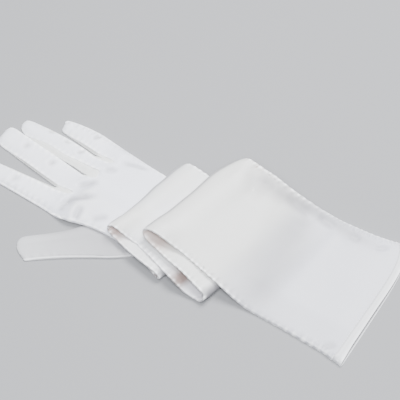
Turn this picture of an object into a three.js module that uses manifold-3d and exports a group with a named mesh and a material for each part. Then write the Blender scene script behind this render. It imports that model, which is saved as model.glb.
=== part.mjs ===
// Bridal glove: a long satin evening glove for the right hand, laid down with its sleeve folded over.
// Millimetres, +Z up. +X runs from the fingertips to the cuff and +Y towards the little finger's side.
// The back of the hand is up. The palm and the sleeve's last stretch lie on z = 0.
import * as THREE from "three";
import { mergeVertices } from "three/addons/utils/BufferGeometryUtils.js";
import Module from "manifold-3d";

const wasm = await Module();
wasm.setup();

// Cloth sizes
const wall = 1.0;
const gap = 0.3;
const seamHeight = 2 * wall + gap;
const seamHalf = seamHeight / 2;
const crownWidth = 10;
const handThickness = 5.0;
const sleeveThickness = 3.5;

// The fold lines cross the sleeve at this slant to +Y
const foldSlant = THREE.MathUtils.degToRad(14.7);
const foldSteps = 8;
const stepLength = 8;

// Fingers: plan points of the two edges at the crotch and at the very tip, how far the far edge
// bulges, and how much of the fourchette shows beside the back panel's near and far edge
const fingers = [
  {
    name: "index", nearBase: [-110.3, -81.6], farBase: [-110.0, -59.3],
    nearTip: [-176.5, -82.7], farTip: [-176.0, -68.6], bulge: 0, nearShow: 0, farShow: 1.6,
  },
  {
    name: "middle", nearBase: [-109.6, -58.3], farBase: [-96.4, -35.9],
    nearTip: [-183.0, -51.2], farTip: [-183.0, -29.9], bulge: 0, nearShow: 1.6, farShow: 0.8,
  },
  {
    name: "ring", nearBase: [-96.4, -34.8], farBase: [-98.3, -14.9],
    nearTip: [-173.5, -29.3], farTip: [-173.5, -18.2], bulge: 2.5, nearShow: 4.5, farShow: 0.8,
  },
  {
    name: "little", nearBase: [-98.3, -13.6], farBase: [-95.0, 4.6],
    nearTip: [-143.5, -10.2], farTip: [-143.5, 3.5], bulge: 1.7, nearShow: 0.8, farShow: 0,
  },
];
const fingerRows = [1, 0.985, 0.95, 0.88, 0.76, 0.6, 0.45, 0.3, 0.15, 0.04, 0];
const fingerColumns = [0, 0.16, 0.5, 0.84, 1];
const tipLength = 9;
const tipShare = 0.4;
const tipThickness = 4.2;
const edgeDrop = 0.5;
const edgeTaperStart = 0.55;
const edgeTaperEnd = 0.9;
const leastStripHeight = 0.5;

// Hand, from the knuckles to the wrist: plan points of the near and far edge, and thickness
const handRows = [
  { name: "knuckles", near: [-98, -81.3], far: [-88, 4.0], thick: 5.0 },
  { name: "upperPalm", near: [-84, -80.3], far: [-78, 3.2], thick: 4.7 },
  { name: "palm", near: [-70, -76.6], far: [-67, 2.9], thick: 4.3 },
  { name: "heel", near: [-57, -74.4], far: [-56, 2.8], thick: 3.9 },
  { name: "wrist", near: [-43.5, -73.8], far: [-45, 2.9], thick: 3.5 },
];

// Sleeve layers in the fold lines' frame: the near edge's and the far edge's place along and across,
// the height of the layer's underside, and its thickness
const layers = [
  {
    name: "forearmBottom", rows: [
      { along: -10, near: -79.7, farAlong: -22, far: -3.0, under: 0, thick: sleeveThickness },
      { along: 10, near: -77.0, farAlong: 6, far: 5.0, under: 0, thick: sleeveThickness },
      { along: 30, near: -77.3, farAlong: 30, far: 10.8, under: 0, thick: sleeveThickness },
    ],
  },
  {
    name: "firstReturn", rows: [
      { along: 30, near: -77.3, farAlong: 30, far: 11.0, under: 7.25, thick: sleeveThickness },
      { along: 14, near: -77.3, farAlong: 14, far: 11.0, under: 4.2, thick: sleeveThickness },
      { along: -5, near: -77.6, farAlong: -5, far: 10.8, under: 3.95, thick: sleeveThickness },
      { along: -21, near: -78.0, farAlong: -21, far: 10.5, under: 3.95, thick: sleeveThickness },
    ],
  },
  {
    name: "middleLayer", rows: [
      { along: -21, near: -76.5, farAlong: -21, far: 13.6, under: 12.4, thick: sleeveThickness },
      { along: 2, near: -73.4, farAlong: 2, far: 20.3, under: 8.6, thick: sleeveThickness },
      { along: 31, near: -73.0, farAlong: 31, far: 26.0, under: 11.45, thick: sleeveThickness },
      { along: 40, near: -72.4, farAlong: 40, far: 27.5, under: 10.4, thick: sleeveThickness },
      { along: 58, near: -69.8, farAlong: 58, far: 31.0, under: 2.2, thick: sleeveThickness },
      { along: 69, near: -66.5, farAlong: 69, far: 33.0, under: 0.25, thick: sleeveThickness },
    ],
  },
  {
    name: "secondReturn", rows: [
      { along: 69, near: -61.0, farAlong: 69, far: 34.0, under: 9.25, thick: sleeveThickness },
      { along: 48, near: -62.2, farAlong: 48, far: 38.0, under: 13.8, thick: sleeveThickness },
      { along: 33, near: -64.0, farAlong: 33, far: 41.0, under: 15.6, thick: sleeveThickness },
      { along: 20, near: -64.0, farAlong: 20, far: 43.5, under: 14.4, thick: sleeveThickness },
      { along: 11.3, near: -63.2, farAlong: 11.3, far: 45.5, under: 13.45, thick: sleeveThickness },
    ],
  },
  {
    name: "topLayer", rows: [
      { along: 11.3, near: -57.5, farAlong: 11.3, far: 50.5, under: 23.4, thick: sleeveThickness },
      { along: 34, near: -52.6, farAlong: 34, far: 57.5, under: 19.6, thick: sleeveThickness },
      { along: 60, near: -49.0, farAlong: 60, far: 64.0, under: 14.8, thick: sleeveThickness },
      { along: 76, near: -46.3, farAlong: 76, far: 68.3, under: 12.2, thick: sleeveThickness },
      { along: 89, near: -43.6, farAlong: 87, far: 71.9, under: 4.6, thick: 4.0 },
      { along: 103, near: -40.2, farAlong: 97, far: 75.8, under: 0, thick: 5.2 },
      { along: 118, near: -35.3, farAlong: 107, far: 79.2, under: 0, thick: 6.4 },
      { along: 136, near: -29.9, farAlong: 118, far: 83.0, under: 0, thick: 7.0 },
      { along: 155, near: -24.7, farAlong: 129, far: 87.6, under: 0, thick: 7.0 },
      { along: 173, near: -20.0, farAlong: 139.3, far: 93.1, under: 0, thick: 7.0 },
      { along: 191.2, near: -17.4, farAlong: 149.5, far: 99.8, under: 0, thick: 7.0 },
    ],
  },
];

// Folds between the layers: which way they point, and how far the loop reaches beyond the layers
const folds = [
  { name: "firstFold", side: 1, reach: 4 },
  { name: "wristFold", side: -1, reach: 8 },
  { name: "secondFold", side: 1, reach: 5 },
  { name: "upperFold", side: -1, reach: 9 },
];

// Sleeve columns: distances in from each edge, then shares of the width between
const edgeColumns = [0, 3, crownWidth];
const middleColumns = [0.33, 0.5, 0.67];

// Mouth: the hem's width, its clearance to the panels and how far the edge bows outwards
const hemWidth = 8.6;
const hemClearance = 0.6;
const mouthBow = 11;
const bowStart = 103;

// Thumb: a flat pouch beneath the palm, open into the palm through an oval hole
const thumbThickness = 3.8;
const thumbOutline = [
  { name: "tipFar", x: -106.2, y: -112.4, round: 3 },
  { name: "shaftFar", x: -87.8, y: -96.8, round: 8 },
  { name: "rootFar", x: -70.5, y: -78.2, round: 8 },
  { name: "underPalmFar", x: -62, y: -56.5, round: 9 },
  { name: "underPalmNear", x: -19, y: -57.5, round: 9 },
  { name: "rootNear", x: -14, y: -75, round: 6 },
  { name: "heelNear", x: -46, y: -96.9, round: 14 },
  { name: "shaftNear", x: -70, y: -113.3, round: 8 },
  { name: "tipNear", x: -91.9, y: -130.9, round: 3 },
  { name: "tipMiddle", x: -106.4, y: -122.4, round: 3 },
];
const thumbHole = { x: -42, y: -67, halfLength: 17, halfWidth: 6.5, bottom: 1.3, top: 5.3 };
const lift = thumbThickness + gap;
const liftTable = [
  { name: "along", start: -108, full: -84, fade: -6, end: 16 },
  { name: "across", fade: -53, end: -32 },
];

const satin = { roughness: 0.45, metalness: 0 };
const meshMaterial = (tint) => new THREE.MeshStandardMaterial({ ...satin, color: tint });

const mix = THREE.MathUtils.lerp;
const ease = (x, from, to) => THREE.MathUtils.smoothstep(x, from, to);
const plan = (pair, z = 0) => new THREE.Vector3(pair[0], pair[1], z);
const up = new THREE.Vector3(0, 0, 1);

// A place in the fold lines' frame as a point of the part
function foldPoint(along, across, z) {
  const c = Math.cos(foldSlant);
  const s = Math.sin(foldSlant);
  return new THREE.Vector3(along * c + across * s, -along * s + across * c, z);
}

// The cloth rises over the thumb's root
function liftAt(point) {
  const [a, b] = liftTable;
  const alongShare = ease(point.x, a.start, a.full) * (1 - ease(point.x, a.fade, a.end));
  const acrossShare = 1 - ease(point.y, b.fade, b.end);
  return lift * alongShare * acrossShare;
}

// A cloth wall: outer and inner points with the same faces, closed by a rim along every free edge
class ClothWall {
  constructor(flipped) {
    this.flipped = flipped;
    this.outer = [];
    this.inner = [];
    this.faces = [];
  }

  point(outer, inner, at) {
    this.outer.push(outer);
    this.inner.push(inner);
    return { id: this.outer.length - 1, at };
  }

  face(a, b, c) {
    this.faces.push(this.flipped ? [a.id, c.id, b.id] : [a.id, b.id, c.id]);
  }

  // Joins two rows of points, which may differ in number, by their shares of the width
  bridge(rowA, rowB) {
    let i = 0;
    let j = 0;
    while (i < rowA.length - 1 || j < rowB.length - 1) {
      const nextA = i < rowA.length - 1 ? rowA[i + 1].at : Infinity;
      const nextB = j < rowB.length - 1 ? rowB[j + 1].at : Infinity;
      if (nextB <= nextA) {
        this.face(rowA[i], rowB[j], rowB[j + 1]);
        j += 1;
      } else {
        this.face(rowA[i], rowB[j], rowA[i + 1]);
        i += 1;
      }
    }
  }

  geometry() {
    const count = this.outer.length;
    const triangles = [];
    const edges = new Set();
    for (const [a, b, c] of this.faces) {
      triangles.push(a, b, c, a + count, c + count, b + count);
      edges.add(`${a},${b}`).add(`${b},${c}`).add(`${c},${a}`);
    }
    for (const edge of edges) {
      const [a, b] = edge.split(",").map(Number);
      if (!edges.has(`${b},${a}`)) {
        triangles.push(b, a, a + count, b, a + count, b + count);
      }
    }
    return facets([...this.outer, ...this.inner], triangles);
  }
}

function facets(points, triangles) {
  const geometry = new THREE.BufferGeometry().setFromPoints(points);
  geometry.setIndex(triangles);
  return geometry;
}

// A table's columns between its rows, without overshoot; heights start and end level
function readTable(rows, along) {
  const signed = Math.sign(rows[1].along - rows[0].along);
  let i = 0;
  while (i < rows.length - 2 && signed * (along - rows[i + 1].along) > 0) i += 1;
  const span = rows[i + 1].along - rows[i].along;
  const t = (along - rows[i].along) / span;
  const rise = (key, k) => (rows[k + 1][key] - rows[k][key]) / (rows[k + 1].along - rows[k].along);
  const slope = (key, k) => {
    if (k === 0 || k === rows.length - 1) {
      return key === "under" ? 0 : rise(key, Math.min(k, rows.length - 2));
    }
    const before = rise(key, k - 1);
    const after = rise(key, k);
    return before * after <= 0 ? 0 : (2 * before * after) / (before + after);
  };
  const value = (key) => {
    const a = rows[i][key];
    const b = rows[i + 1][key];
    const ta = slope(key, i) * span;
    const tb = slope(key, i + 1) * span;
    const t2 = t * t;
    const t3 = t2 * t;
    return a * (2 * t3 - 3 * t2 + 1) + ta * (t3 - 2 * t2 + t) + b * (3 * t2 - 2 * t3) + tb * (t3 - t2);
  };
  return {
    along, near: value("near"), farAlong: value("farAlong"), far: value("far"),
    under: value("under"), thick: value("thick"),
  };
}

// One rib of the sleeve: the seam points on both sides, and how the cloth lies between them
function layerRib(rows, along, lying) {
  const row = readTable(rows, along);
  const z = row.under + row.thick / 2;
  return {
    near: foldPoint(row.along, row.near, z),
    far: foldPoint(row.farAlong, row.far, z),
    thick: row.thick,
    lie: lying(row.along),
    bow: 0,
  };
}

function layerRibs(rows, lying, end) {
  const start = rows[0].along;
  const steps = Math.ceil(Math.abs(end - start) / stepLength);
  return Array.from({ length: steps + 1 }, (_, i) => layerRib(rows, mix(start, end, i / steps), lying));
}

// The loop of cloth from one layer's last rib to the next layer's first rib
function foldRibs(fold, from, to) {
  const ribs = [];
  for (let i = 1; i < foldSteps; i += 1) {
    const angle = Math.PI * (i / foldSteps - 0.5);
    const share = (1 + Math.sin(angle)) / 2;
    const push = fold.side * fold.reach * Math.cos(angle);
    const offset = foldPoint(push, 0, 0);
    ribs.push({
      near: from.near.clone().lerp(to.near, share).add(offset),
      far: from.far.clone().lerp(to.far, share).add(offset),
      thick: mix(from.thick, to.thick, share),
      lie: from.lie * (1 - share),
      bow: 0,
    });
  }
  return ribs;
}

const lastRows = layers[layers.length - 1].rows;
const mouthAlong = lastRows[lastRows.length - 1].along;
const hemAlong = mouthAlong - hemWidth;
const lyingFrom = 103;

const layLying = (index) => {
  if (index === 0) return () => 1;
  if (index < layers.length - 1) return () => 0;
  return (along) => ease(along, lastRows[3].along, lyingFrom);
};
const bowAt = (along) => mouthBow * ease(along, bowStart, mouthAlong);

// All ribs from the wrist to the hem
function sleeveRibs() {
  const ribs = [];
  layers.forEach((layer, i) => {
    const last = i === layers.length - 1;
    const end = last ? hemAlong - hemClearance : layer.rows[layer.rows.length - 1].along;
    const own = layerRibs(layer.rows, layLying(i), end);
    if (i > 0) ribs.push(...foldRibs(folds[i - 1], ribs[ribs.length - 1], own[0]));
    if (last) {
      const steps = own.length - 1;
      own.forEach((rib, k) => {
        rib.bow = bowAt(mix(layer.rows[0].along, end, k / steps));
      });
    }
    ribs.push(...own);
  });
  return ribs;
}

// Shares of the width where a rib's columns stand
function ribShares(rib) {
  const width = rib.near.distanceTo(rib.far);
  const near = edgeColumns.map((d) => d / width);
  return [...near, ...middleColumns, ...near.map((share) => 1 - share).reverse()];
}

function ribPoint(rib, share) {
  const point = rib.near.clone().lerp(rib.far, share);
  point.x += rib.bow * share * (1 - share ** 7);
  return point;
}

// Half of a layer's thickness at a share of its width: thin at the seams, full from the crown inwards
function halfThickness(rib, share) {
  const inset = Math.min(share, 1 - share) * rib.near.distanceTo(rib.far);
  const fullness = 1 - (1 - Math.min(inset / crownWidth, 1)) ** 2;
  return mix(seamHalf, rib.thick / 2, fullness);
}

// Offsets of the back's and the palm's two faces along the layer's normal
function wallOffsets(rib, share) {
  const half = halfThickness(rib, share);
  const sink = -rib.lie * (rib.thick / 2 - half);
  return {
    back: [sink + half, sink + half - wall],
    palm: [sink - half, sink - half + wall],
  };
}

function raised(point, normal, offset) {
  const moved = point.clone().addScaledVector(normal, offset);
  moved.z += liftAt(point);
  return moved;
}

// Adds ribs to a panel as rows of points; side is "back" or "palm"
function addRibs(panel, ribs, side, sharesOf) {
  const rows = ribs.map((rib) => sharesOf(rib).map((share) => ({ share, point: ribPoint(rib, share) })));
  return rows.map((row, r) => {
    const rib = ribs[r];
    const before = rows[Math.max(r - 1, 0)];
    const after = rows[Math.min(r + 1, rows.length - 1)];
    const across = rib.far.clone().sub(rib.near);
    return row.map(({ share, point }, c) => {
      const forward = after[c].point.clone().sub(before[c].point);
      const normal = rib.lie > 0.999 ? up : forward.cross(across).normalize();
      const [outer, inner] = wallOffsets(rib, share)[side];
      return panel.point(raised(point, normal, outer), raised(point, normal, inner), share);
    });
  });
}

// Where a finger's edge runs in plan, from the crotch (0) to the very tip (1)
function fingerFrame(finger, t) {
  const near = plan(finger.nearBase).lerp(plan(finger.nearTip), t);
  const far = plan(finger.farBase).lerp(plan(finger.farTip), t);
  far.y += finger.bulge * 4 * t * (1 - t);
  const length = plan(finger.nearBase).distanceTo(plan(finger.nearTip));
  const q = THREE.MathUtils.clamp(1 - ((1 - t) * length) / tipLength, 0, 1);
  const width = 1 - (1 - tipShare) * (1 - Math.sqrt(1 - q * q));
  const centre = near.clone().lerp(far, 0.5);
  near.sub(centre).multiplyScalar(width).add(centre);
  far.sub(centre).multiplyScalar(width).add(centre);
  return { near, far, tip: q };
}

// How far the back panel's edge stands in from the palm's, to let the fourchette show
const showAt = (show, t) => show * (1 - ease(t, edgeTaperStart, edgeTaperEnd));

// Top of the back panel over a finger: its crest, and its edge where a fourchette stands below it
function fingerTop(t, tip) {
  const crest = mix(mix(handThickness, tipThickness, t), seamHeight + gap, tip * tip);
  const edge = mix(handThickness - edgeDrop, seamHeight, ease(t, edgeTaperStart, edgeTaperEnd));
  return { crest, edge: Math.min(edge, crest) };
}

function fingerColumn(finger, t, u, side) {
  const frame = fingerFrame(finger, t);
  if (side === "palm") {
    const point = frame.near.clone().lerp(frame.far, u);
    return [point, point.clone().setZ(wall)];
  }
  const across = frame.far.clone().sub(frame.near).normalize();
  const near = frame.near.clone().addScaledVector(across, showAt(finger.nearShow, t));
  const far = frame.far.clone().addScaledVector(across, -showAt(finger.farShow, t));
  const top = fingerTop(t, frame.tip);
  const nearTop = finger.nearShow ? top.edge : seamHeight;
  const farTop = finger.farShow ? top.edge : seamHeight;
  const fullness = 1 - (1 - Math.min(u, 1 - u) * 2) ** 2.5;
  const z = mix(u < 0.5 ? nearTop : farTop, top.crest, fullness);
  const point = near.lerp(far, u);
  return [point.clone().setZ(z), point.clone().setZ(z - wall)];
}

// The back or the palm panel: four fingers, the hand and the folded sleeve in one piece of cloth
function makePanel(side, cut) {
  const panel = new ClothWall(side === "palm");
  const span = plan(fingers[0].nearBase).distanceTo(plan(fingers[3].farBase));
  const shareOf = (point) => (point.y - fingers[0].nearBase[1]) / span;
  const knuckleRow = [];
  fingers.forEach((finger) => {
    let before = null;
    fingerRows.forEach((t) => {
      const row = fingerColumns.map((u) => {
        const [outer, inner] = fingerColumn(finger, t, u, side);
        return panel.point(outer, inner, t === 0 ? shareOf(outer) : u);
      });
      if (before) panel.bridge(before, row);
      before = row;
    });
    knuckleRow.push(...before);
  });
  if (side === "back") pullCrotches(panel, knuckleRow);
  const handRibs = handRows.map((row) => ({
    near: plan(row.near, row.thick / 2), far: plan(row.far, row.thick / 2),
    thick: row.thick, lie: 1, bow: 0,
  }));
  const knuckleShares = knuckleRow.map((point) => point.at);
  const end = knuckleShares[knuckleShares.length - 1];
  const handShares = knuckleShares.map((share) => share / end);
  knuckleRow.forEach((point, i) => {
    point.at = handShares[i];
  });
  const hand = addRibs(panel, handRibs, side, () => handShares);
  const sleeve = addRibs(panel, sleeveRibs(), side, ribShares);
  const rows = [knuckleRow, ...hand, ...sleeve];
  for (let i = 1; i < rows.length; i += 1) panel.bridge(rows[i - 1], rows[i]);
  return cut ? carve(panel.geometry(), cut) : panel.geometry();
}

// At each crotch the back panel's edge draws back over the fourchette
function pullCrotches(panel, knuckleRow) {
  const columns = fingerColumns.length;
  for (let k = 0; k < fingers.length - 1; k += 1) {
    const pulls = [fingers[k].farShow, fingers[k + 1].nearShow];
    [(k + 1) * columns - 1, (k + 1) * columns].forEach((i, side) => {
      panel.outer[knuckleRow[i].id].x += pulls[side];
      panel.inner[knuckleRow[i].id].x += pulls[side];
    });
  }
}

// The four corners of a fourchette's strip beside a finger's edge
function stripSection(edge, inward, show, top) {
  const height = top - wall - gap - (wall + gap);
  const thickness = wall * Math.hypot(1, show / height);
  const bottom = wall + gap;
  const corner = (reach, z) => edge.clone().addScaledVector(inward, reach).setZ(z);
  return [
    corner(0, bottom),
    corner(show, bottom + height),
    corner(show + thickness, bottom + height),
    corner(thickness, bottom),
  ];
}

// The side strip between two fingers: down one finger's side, round the crotch and up the next one's
function makeFourchette(finger, next) {
  const sideSections = (who, edgeName, show, inwardSign) =>
    fingerRows
      .filter((t) => t > 0 && fingerTop(t, 0).edge - 2 * (wall + gap) > leastStripHeight)
      .map((t) => {
        const frame = fingerFrame(who, t);
        const inward = frame.far.clone().sub(frame.near).normalize().multiplyScalar(inwardSign);
        return stripSection(frame[edgeName], inward, showAt(show, t), fingerTop(t, frame.tip).edge);
      });
  const cornerSection = (who, edgeName, show, inwardSign) => {
    const frame = fingerFrame(who, 0);
    const inward = frame.far.clone().sub(frame.near).normalize().multiplyScalar(inwardSign);
    inward.add(new THREE.Vector3(1, 0, 0));
    return stripSection(frame[edgeName], inward, show, fingerTop(0, 0).edge);
  };
  const sections = [
    ...sideSections(finger, "far", finger.farShow, -1),
    cornerSection(finger, "far", finger.farShow, -1),
    cornerSection(next, "near", next.nearShow, 1),
    ...sideSections(next, "near", next.nearShow, 1).reverse(),
  ];
  return loft(sections);
}

// A closed body through four-cornered sections
function loft(sections) {
  const points = sections.flat();
  const triangles = [];
  const quad = (a, b, c, d) => triangles.push(a, b, c, a, c, d);
  for (let i = 0; i < sections.length - 1; i += 1) {
    for (let k = 0; k < 4; k += 1) {
      const a = 4 * i + k;
      const b = 4 * i + ((k + 1) % 4);
      quad(a, b, b + 4, a + 4);
    }
  }
  quad(3, 2, 1, 0);
  const last = points.length - 4;
  quad(last, last + 1, last + 2, last + 3);
  return facing(points, triangles);
}

// Turns a closed body's faces outwards
function facing(points, triangles) {
  let volume = 0;
  for (let i = 0; i < triangles.length; i += 3) {
    const [a, b, c] = [0, 1, 2].map((k) => points[triangles[i + k]]);
    volume += a.dot(b.clone().cross(c));
  }
  return facets(points, volume > 0 ? triangles : [...triangles].reverse());
}

// The turned hem at the mouth: a flattened band as thick as the panels
function makeHem() {
  const rings = [0, 0.33, 0.67, 1].map((t) => {
    const along = mix(hemAlong, mouthAlong, t);
    const rib = layerRib(lastRows, along, layLying(layers.length - 1));
    rib.bow = bowAt(along);
    const shares = ribShares(rib);
    const side = wall / rib.near.distanceTo(rib.far);
    const line = (name, face, inset) =>
      shares.map((share) => {
        const held = THREE.MathUtils.clamp(share, inset, 1 - inset);
        return raised(ribPoint(rib, held), up, wallOffsets(rib, share)[name][face]);
      });
    const ring = (face, inset) => [...line("palm", face, inset), ...line("back", face, inset).reverse()];
    return [ring(0, 0), ring(1, side)];
  });
  const count = rings[0][0].length;
  const points = rings.flatMap(([outer, inner]) => [...outer, ...inner]);
  const triangles = [];
  const quad = (a, b, c, d) => triangles.push(a, b, c, a, c, d);
  for (let k = 0; k < count; k += 1) {
    const n = (k + 1) % count;
    for (let r = 0; r < rings.length - 1; r += 1) {
      const here = 2 * r * count;
      const there = here + 2 * count;
      quad(here + k, here + n, there + n, there + k);
      quad(here + count + n, here + count + k, there + count + k, there + count + n);
    }
    const end = 2 * (rings.length - 1) * count;
    quad(n, k, count + k, count + n);
    quad(end + k, end + n, end + count + n, end + count + k);
  }
  return facing(points, triangles);
}

function solidOf(geometry) {
  const bare = geometry.clone();
  bare.deleteAttribute("normal");
  bare.deleteAttribute("uv");
  const merged = mergeVertices(bare, 1e-4);
  return new wasm.Manifold(
    new wasm.Mesh({
      numProp: 3,
      vertProperties: merged.attributes.position.array,
      triVerts: new Uint32Array(merged.index.array),
    }),
  );
}

function geometryOf(solid) {
  const mesh = solid.getMesh();
  const geometry = new THREE.BufferGeometry();
  geometry.setAttribute("position", new THREE.BufferAttribute(mesh.vertProperties, 3));
  geometry.setIndex(new THREE.BufferAttribute(mesh.triVerts, 1));
  return geometry;
}

const carve = (geometry, tool) => geometryOf(solidOf(geometry).subtract(solidOf(tool)));

// A plan outline with its corners rounded
function roundedShape(corners) {
  const shape = new THREE.Shape();
  corners.forEach((corner, i) => {
    const here = new THREE.Vector2(corner.x, corner.y);
    const toward = (other) => {
      const way = new THREE.Vector2(other.x, other.y).sub(here);
      return here.clone().addScaledVector(way, Math.min(corner.round / way.length(), 0.45));
    };
    const enter = toward(corners.at(i - 1));
    const leave = toward(corners[(i + 1) % corners.length]);
    if (i === 0) shape.moveTo(enter.x, enter.y);
    else shape.lineTo(enter.x, enter.y);
    shape.quadraticCurveTo(here.x, here.y, leave.x, leave.y);
  });
  shape.closePath();
  return shape;
}

function slab(shape, bottom, height, bevel, inset, curveSegments) {
  const geometry = new THREE.ExtrudeGeometry(shape, {
    depth: height - 2 * bevel, bevelEnabled: true, bevelThickness: bevel, bevelSize: bevel,
    bevelOffset: -bevel - inset, bevelSegments: 2, curveSegments,
  });
  return geometry.translate(0, 0, bottom + bevel);
}

function thumbHoleTool() {
  const oval = new THREE.Shape();
  oval.absellipse(thumbHole.x, thumbHole.y, thumbHole.halfLength, thumbHole.halfWidth, 0, Math.PI * 2);
  const depth = thumbHole.top - thumbHole.bottom;
  return new THREE.ExtrudeGeometry(oval, { depth, bevelEnabled: false, curveSegments: 10 })
    .translate(0, 0, thumbHole.bottom);
}

// The thumb: outer pouch, less its pocket, less the hole that it is sewn to
function makeThumb() {
  const shape = roundedShape(thumbOutline);
  const outer = slab(shape, 0, thumbThickness, 0.9, 0, 4);
  const pocketHeight = thumbThickness - 2 * wall;
  const pocket = slab(shape, wall, pocketHeight, 0.3, wall, 4);
  return carve(carve(outer, pocket), thumbHoleTool());
}

const glove = new THREE.Group();

function addPiece(name, geometry, tint) {
  const mesh = new THREE.Mesh(geometry, meshMaterial(tint));
  mesh.name = name;
  glove.add(mesh);
}

addPiece("back_panel", makePanel("back"), 0xe6e7ea);
addPiece("palm_panel", makePanel("palm", thumbHoleTool()), 0xdcdde1);
for (let k = 0; k < fingers.length - 1; k += 1) {
  const name = `fourchette_${fingers[k].name}_${fingers[k + 1].name}`;
  addPiece(name, makeFourchette(fingers[k], fingers[k + 1]), 0xd4d5da);
}
addPiece("thumb", makeThumb(), 0xdadbdf);
addPiece("cuff_hem", makeHem(), 0xeaebee);

// The origin is below the middle of the glove, on the surface that it lies on
const extent = new THREE.Box3().setFromObject(glove);
const middle = extent.getCenter(new THREE.Vector3());
glove.position.set(-middle.x, -middle.y, -extent.min.z);

export default glove;
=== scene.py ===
import math
import bpy
import numpy as np
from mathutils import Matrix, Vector


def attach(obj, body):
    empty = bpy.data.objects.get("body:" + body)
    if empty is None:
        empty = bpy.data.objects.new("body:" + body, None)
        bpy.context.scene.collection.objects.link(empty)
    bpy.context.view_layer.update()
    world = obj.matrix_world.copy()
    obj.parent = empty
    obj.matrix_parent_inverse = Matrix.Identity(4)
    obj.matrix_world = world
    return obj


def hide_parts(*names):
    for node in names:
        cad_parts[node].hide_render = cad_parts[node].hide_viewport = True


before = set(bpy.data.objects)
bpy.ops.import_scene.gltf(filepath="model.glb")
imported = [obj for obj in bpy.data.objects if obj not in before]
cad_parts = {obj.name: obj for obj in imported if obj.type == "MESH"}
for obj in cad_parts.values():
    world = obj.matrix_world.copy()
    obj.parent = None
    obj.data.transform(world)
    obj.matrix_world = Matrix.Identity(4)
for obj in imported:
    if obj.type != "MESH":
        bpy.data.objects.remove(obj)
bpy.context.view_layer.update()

# A long white satin bridal glove, right hand, back up, its sleeve folded over itself four times.
# Tables are in millimetres from the middle of the picture's floor point; meshes are in metres.
mm = 0.001
planShift = np.array([1.157, 35.727, 0.0])   # from the tables' zero to the frame's origin
print("frame loaded:", len(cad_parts), "nodes")

cloth = {
    "wall": 0.5,            # thickness of one layer of satin
    "seamHeight": 1.1,      # both layers where they are sewn together
    "crown": 7.0,           # how far in from a seam the cloth reaches its full height
    "cuffCrown": 4.6,       # the same near the mouth
    "crownPower": 2.6,      # how round the flattened sleeve's side is
    "layer": 3.5,           # height that a folded layer takes up
    "loose": 3.0,           # height of the flattened sleeve where it lies
    "step": 1.7,            # distance between ribs along the glove
    "sideThin": 0.55,       # how much closer the columns stand at the seams
    "hidden": -1000.0,      # stands for the place along the top layer on every other rib
}

puckers = {
    "pitch": 5.8,           # distance between the gathers along a seam
    "height": 0.8,
    "reach": 2.3,           # how far a gather runs in from the seam
    "ridge": 0.24,          # the sewn allowance shows as a low ridge
    "groove": 0.26,
    "outline": 0.22,        # how much the gathers move the outline
    "nearPhase": 0.4, "farPhase": 2.9,
}

fingerTable = [
    dict(name="index", nearBase=(-110.3, -81.9), farBase=(-110.0, -59.2), nearTip=(-176.5, -82.9),
         farTip=(-176.0, -67.6), bulge=0.0, nearShow=0.0, farShow=1.7, crest=4.5,
         tipShare=0.16, tipLength=11.0),
    dict(name="middle", nearBase=(-109.6, -58.3), farBase=(-96.4, -35.9), nearTip=(-181.9, -51.0),
         farTip=(-182.2, -29.9), bulge=0.0, nearShow=1.0, farShow=0.9, crest=4.9,
         tipShare=0.34, tipLength=9.5),
    dict(name="ring", nearBase=(-96.4, -34.8), farBase=(-98.3, -14.9), nearTip=(-173.0, -28.6),
         farTip=(-174.0, -17.2), bulge=2.5, nearBulge=1.9, nearShow=5.2, farShow=1.2, crest=4.7,
         tipShare=0.2, tipLength=8.0),
    dict(name="little", nearBase=(-98.3, -13.6), farBase=(-95.0, 5.6), nearTip=(-140.4, -10.0),
         farTip=(-143.0, 1.5), bulge=2.3, nearShow=1.1, farShow=0.0, crest=4.4,
         tipShare=0.72, tipLength=4.0),
]

# Where each fourchette's rounded end lies on the back of the hand
tongueEnds = [(-94.4, -56.2), (-86.6, -33.2), (-81.6, -12.2)]
sideStarts = {"near": (-96.0, -82.4), "far": (-80.0, 4.6)}   # where the outer fingers' free edges begin
fingerForm = {
    "columns": 19, "rows": 56, "sideThin": 0.45, "rowShift": 0.03, "tipPower": 2.6, "crestPower": 2.5,
    "baseCrest": 5.0, "tipCrest": 3.9,                # height of the back where fingers begin and end
    "baseTop": 4.4, "edgeTop": 3.7, "seamTop": 1.15,  # height of its edges at the hand, sewn up and sewn flat
    "taperStart": 0.5, "taperEnd": 0.93, "tongueRound": 5.0, "tongueLap": 0.35, "baseShow": 1.65,
    "softRelief": 0.35, "fullRelief": 1.3,            # gathers where a fourchette shows and where none does
    # The fingers are painted whiter, growing over their first 25 mm from the knuckles: a painted light
    "sag": 0.12, "curl": 0.45, "light": 0.25, "paintedLightFrom": 25.0,
}

handTable = [
    dict(name="upperPalm", near=(-84.0, -81.6), far=(-76.0, 4.2), thick=4.7),
    dict(name="palm", near=(-70.0, -77.4), far=(-65.0, 3.7), thick=4.3),
    dict(name="heel", near=(-57.0, -74.8), far=(-56.0, 3.2), thick=3.9),
    dict(name="wrist", near=(-43.5, -73.8), far=(-45.0, 2.9), thick=3.5),
]

handForm = {"knuckleThick": 5.0, "settle": 46.0, "bendFade": 40.0}

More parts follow.
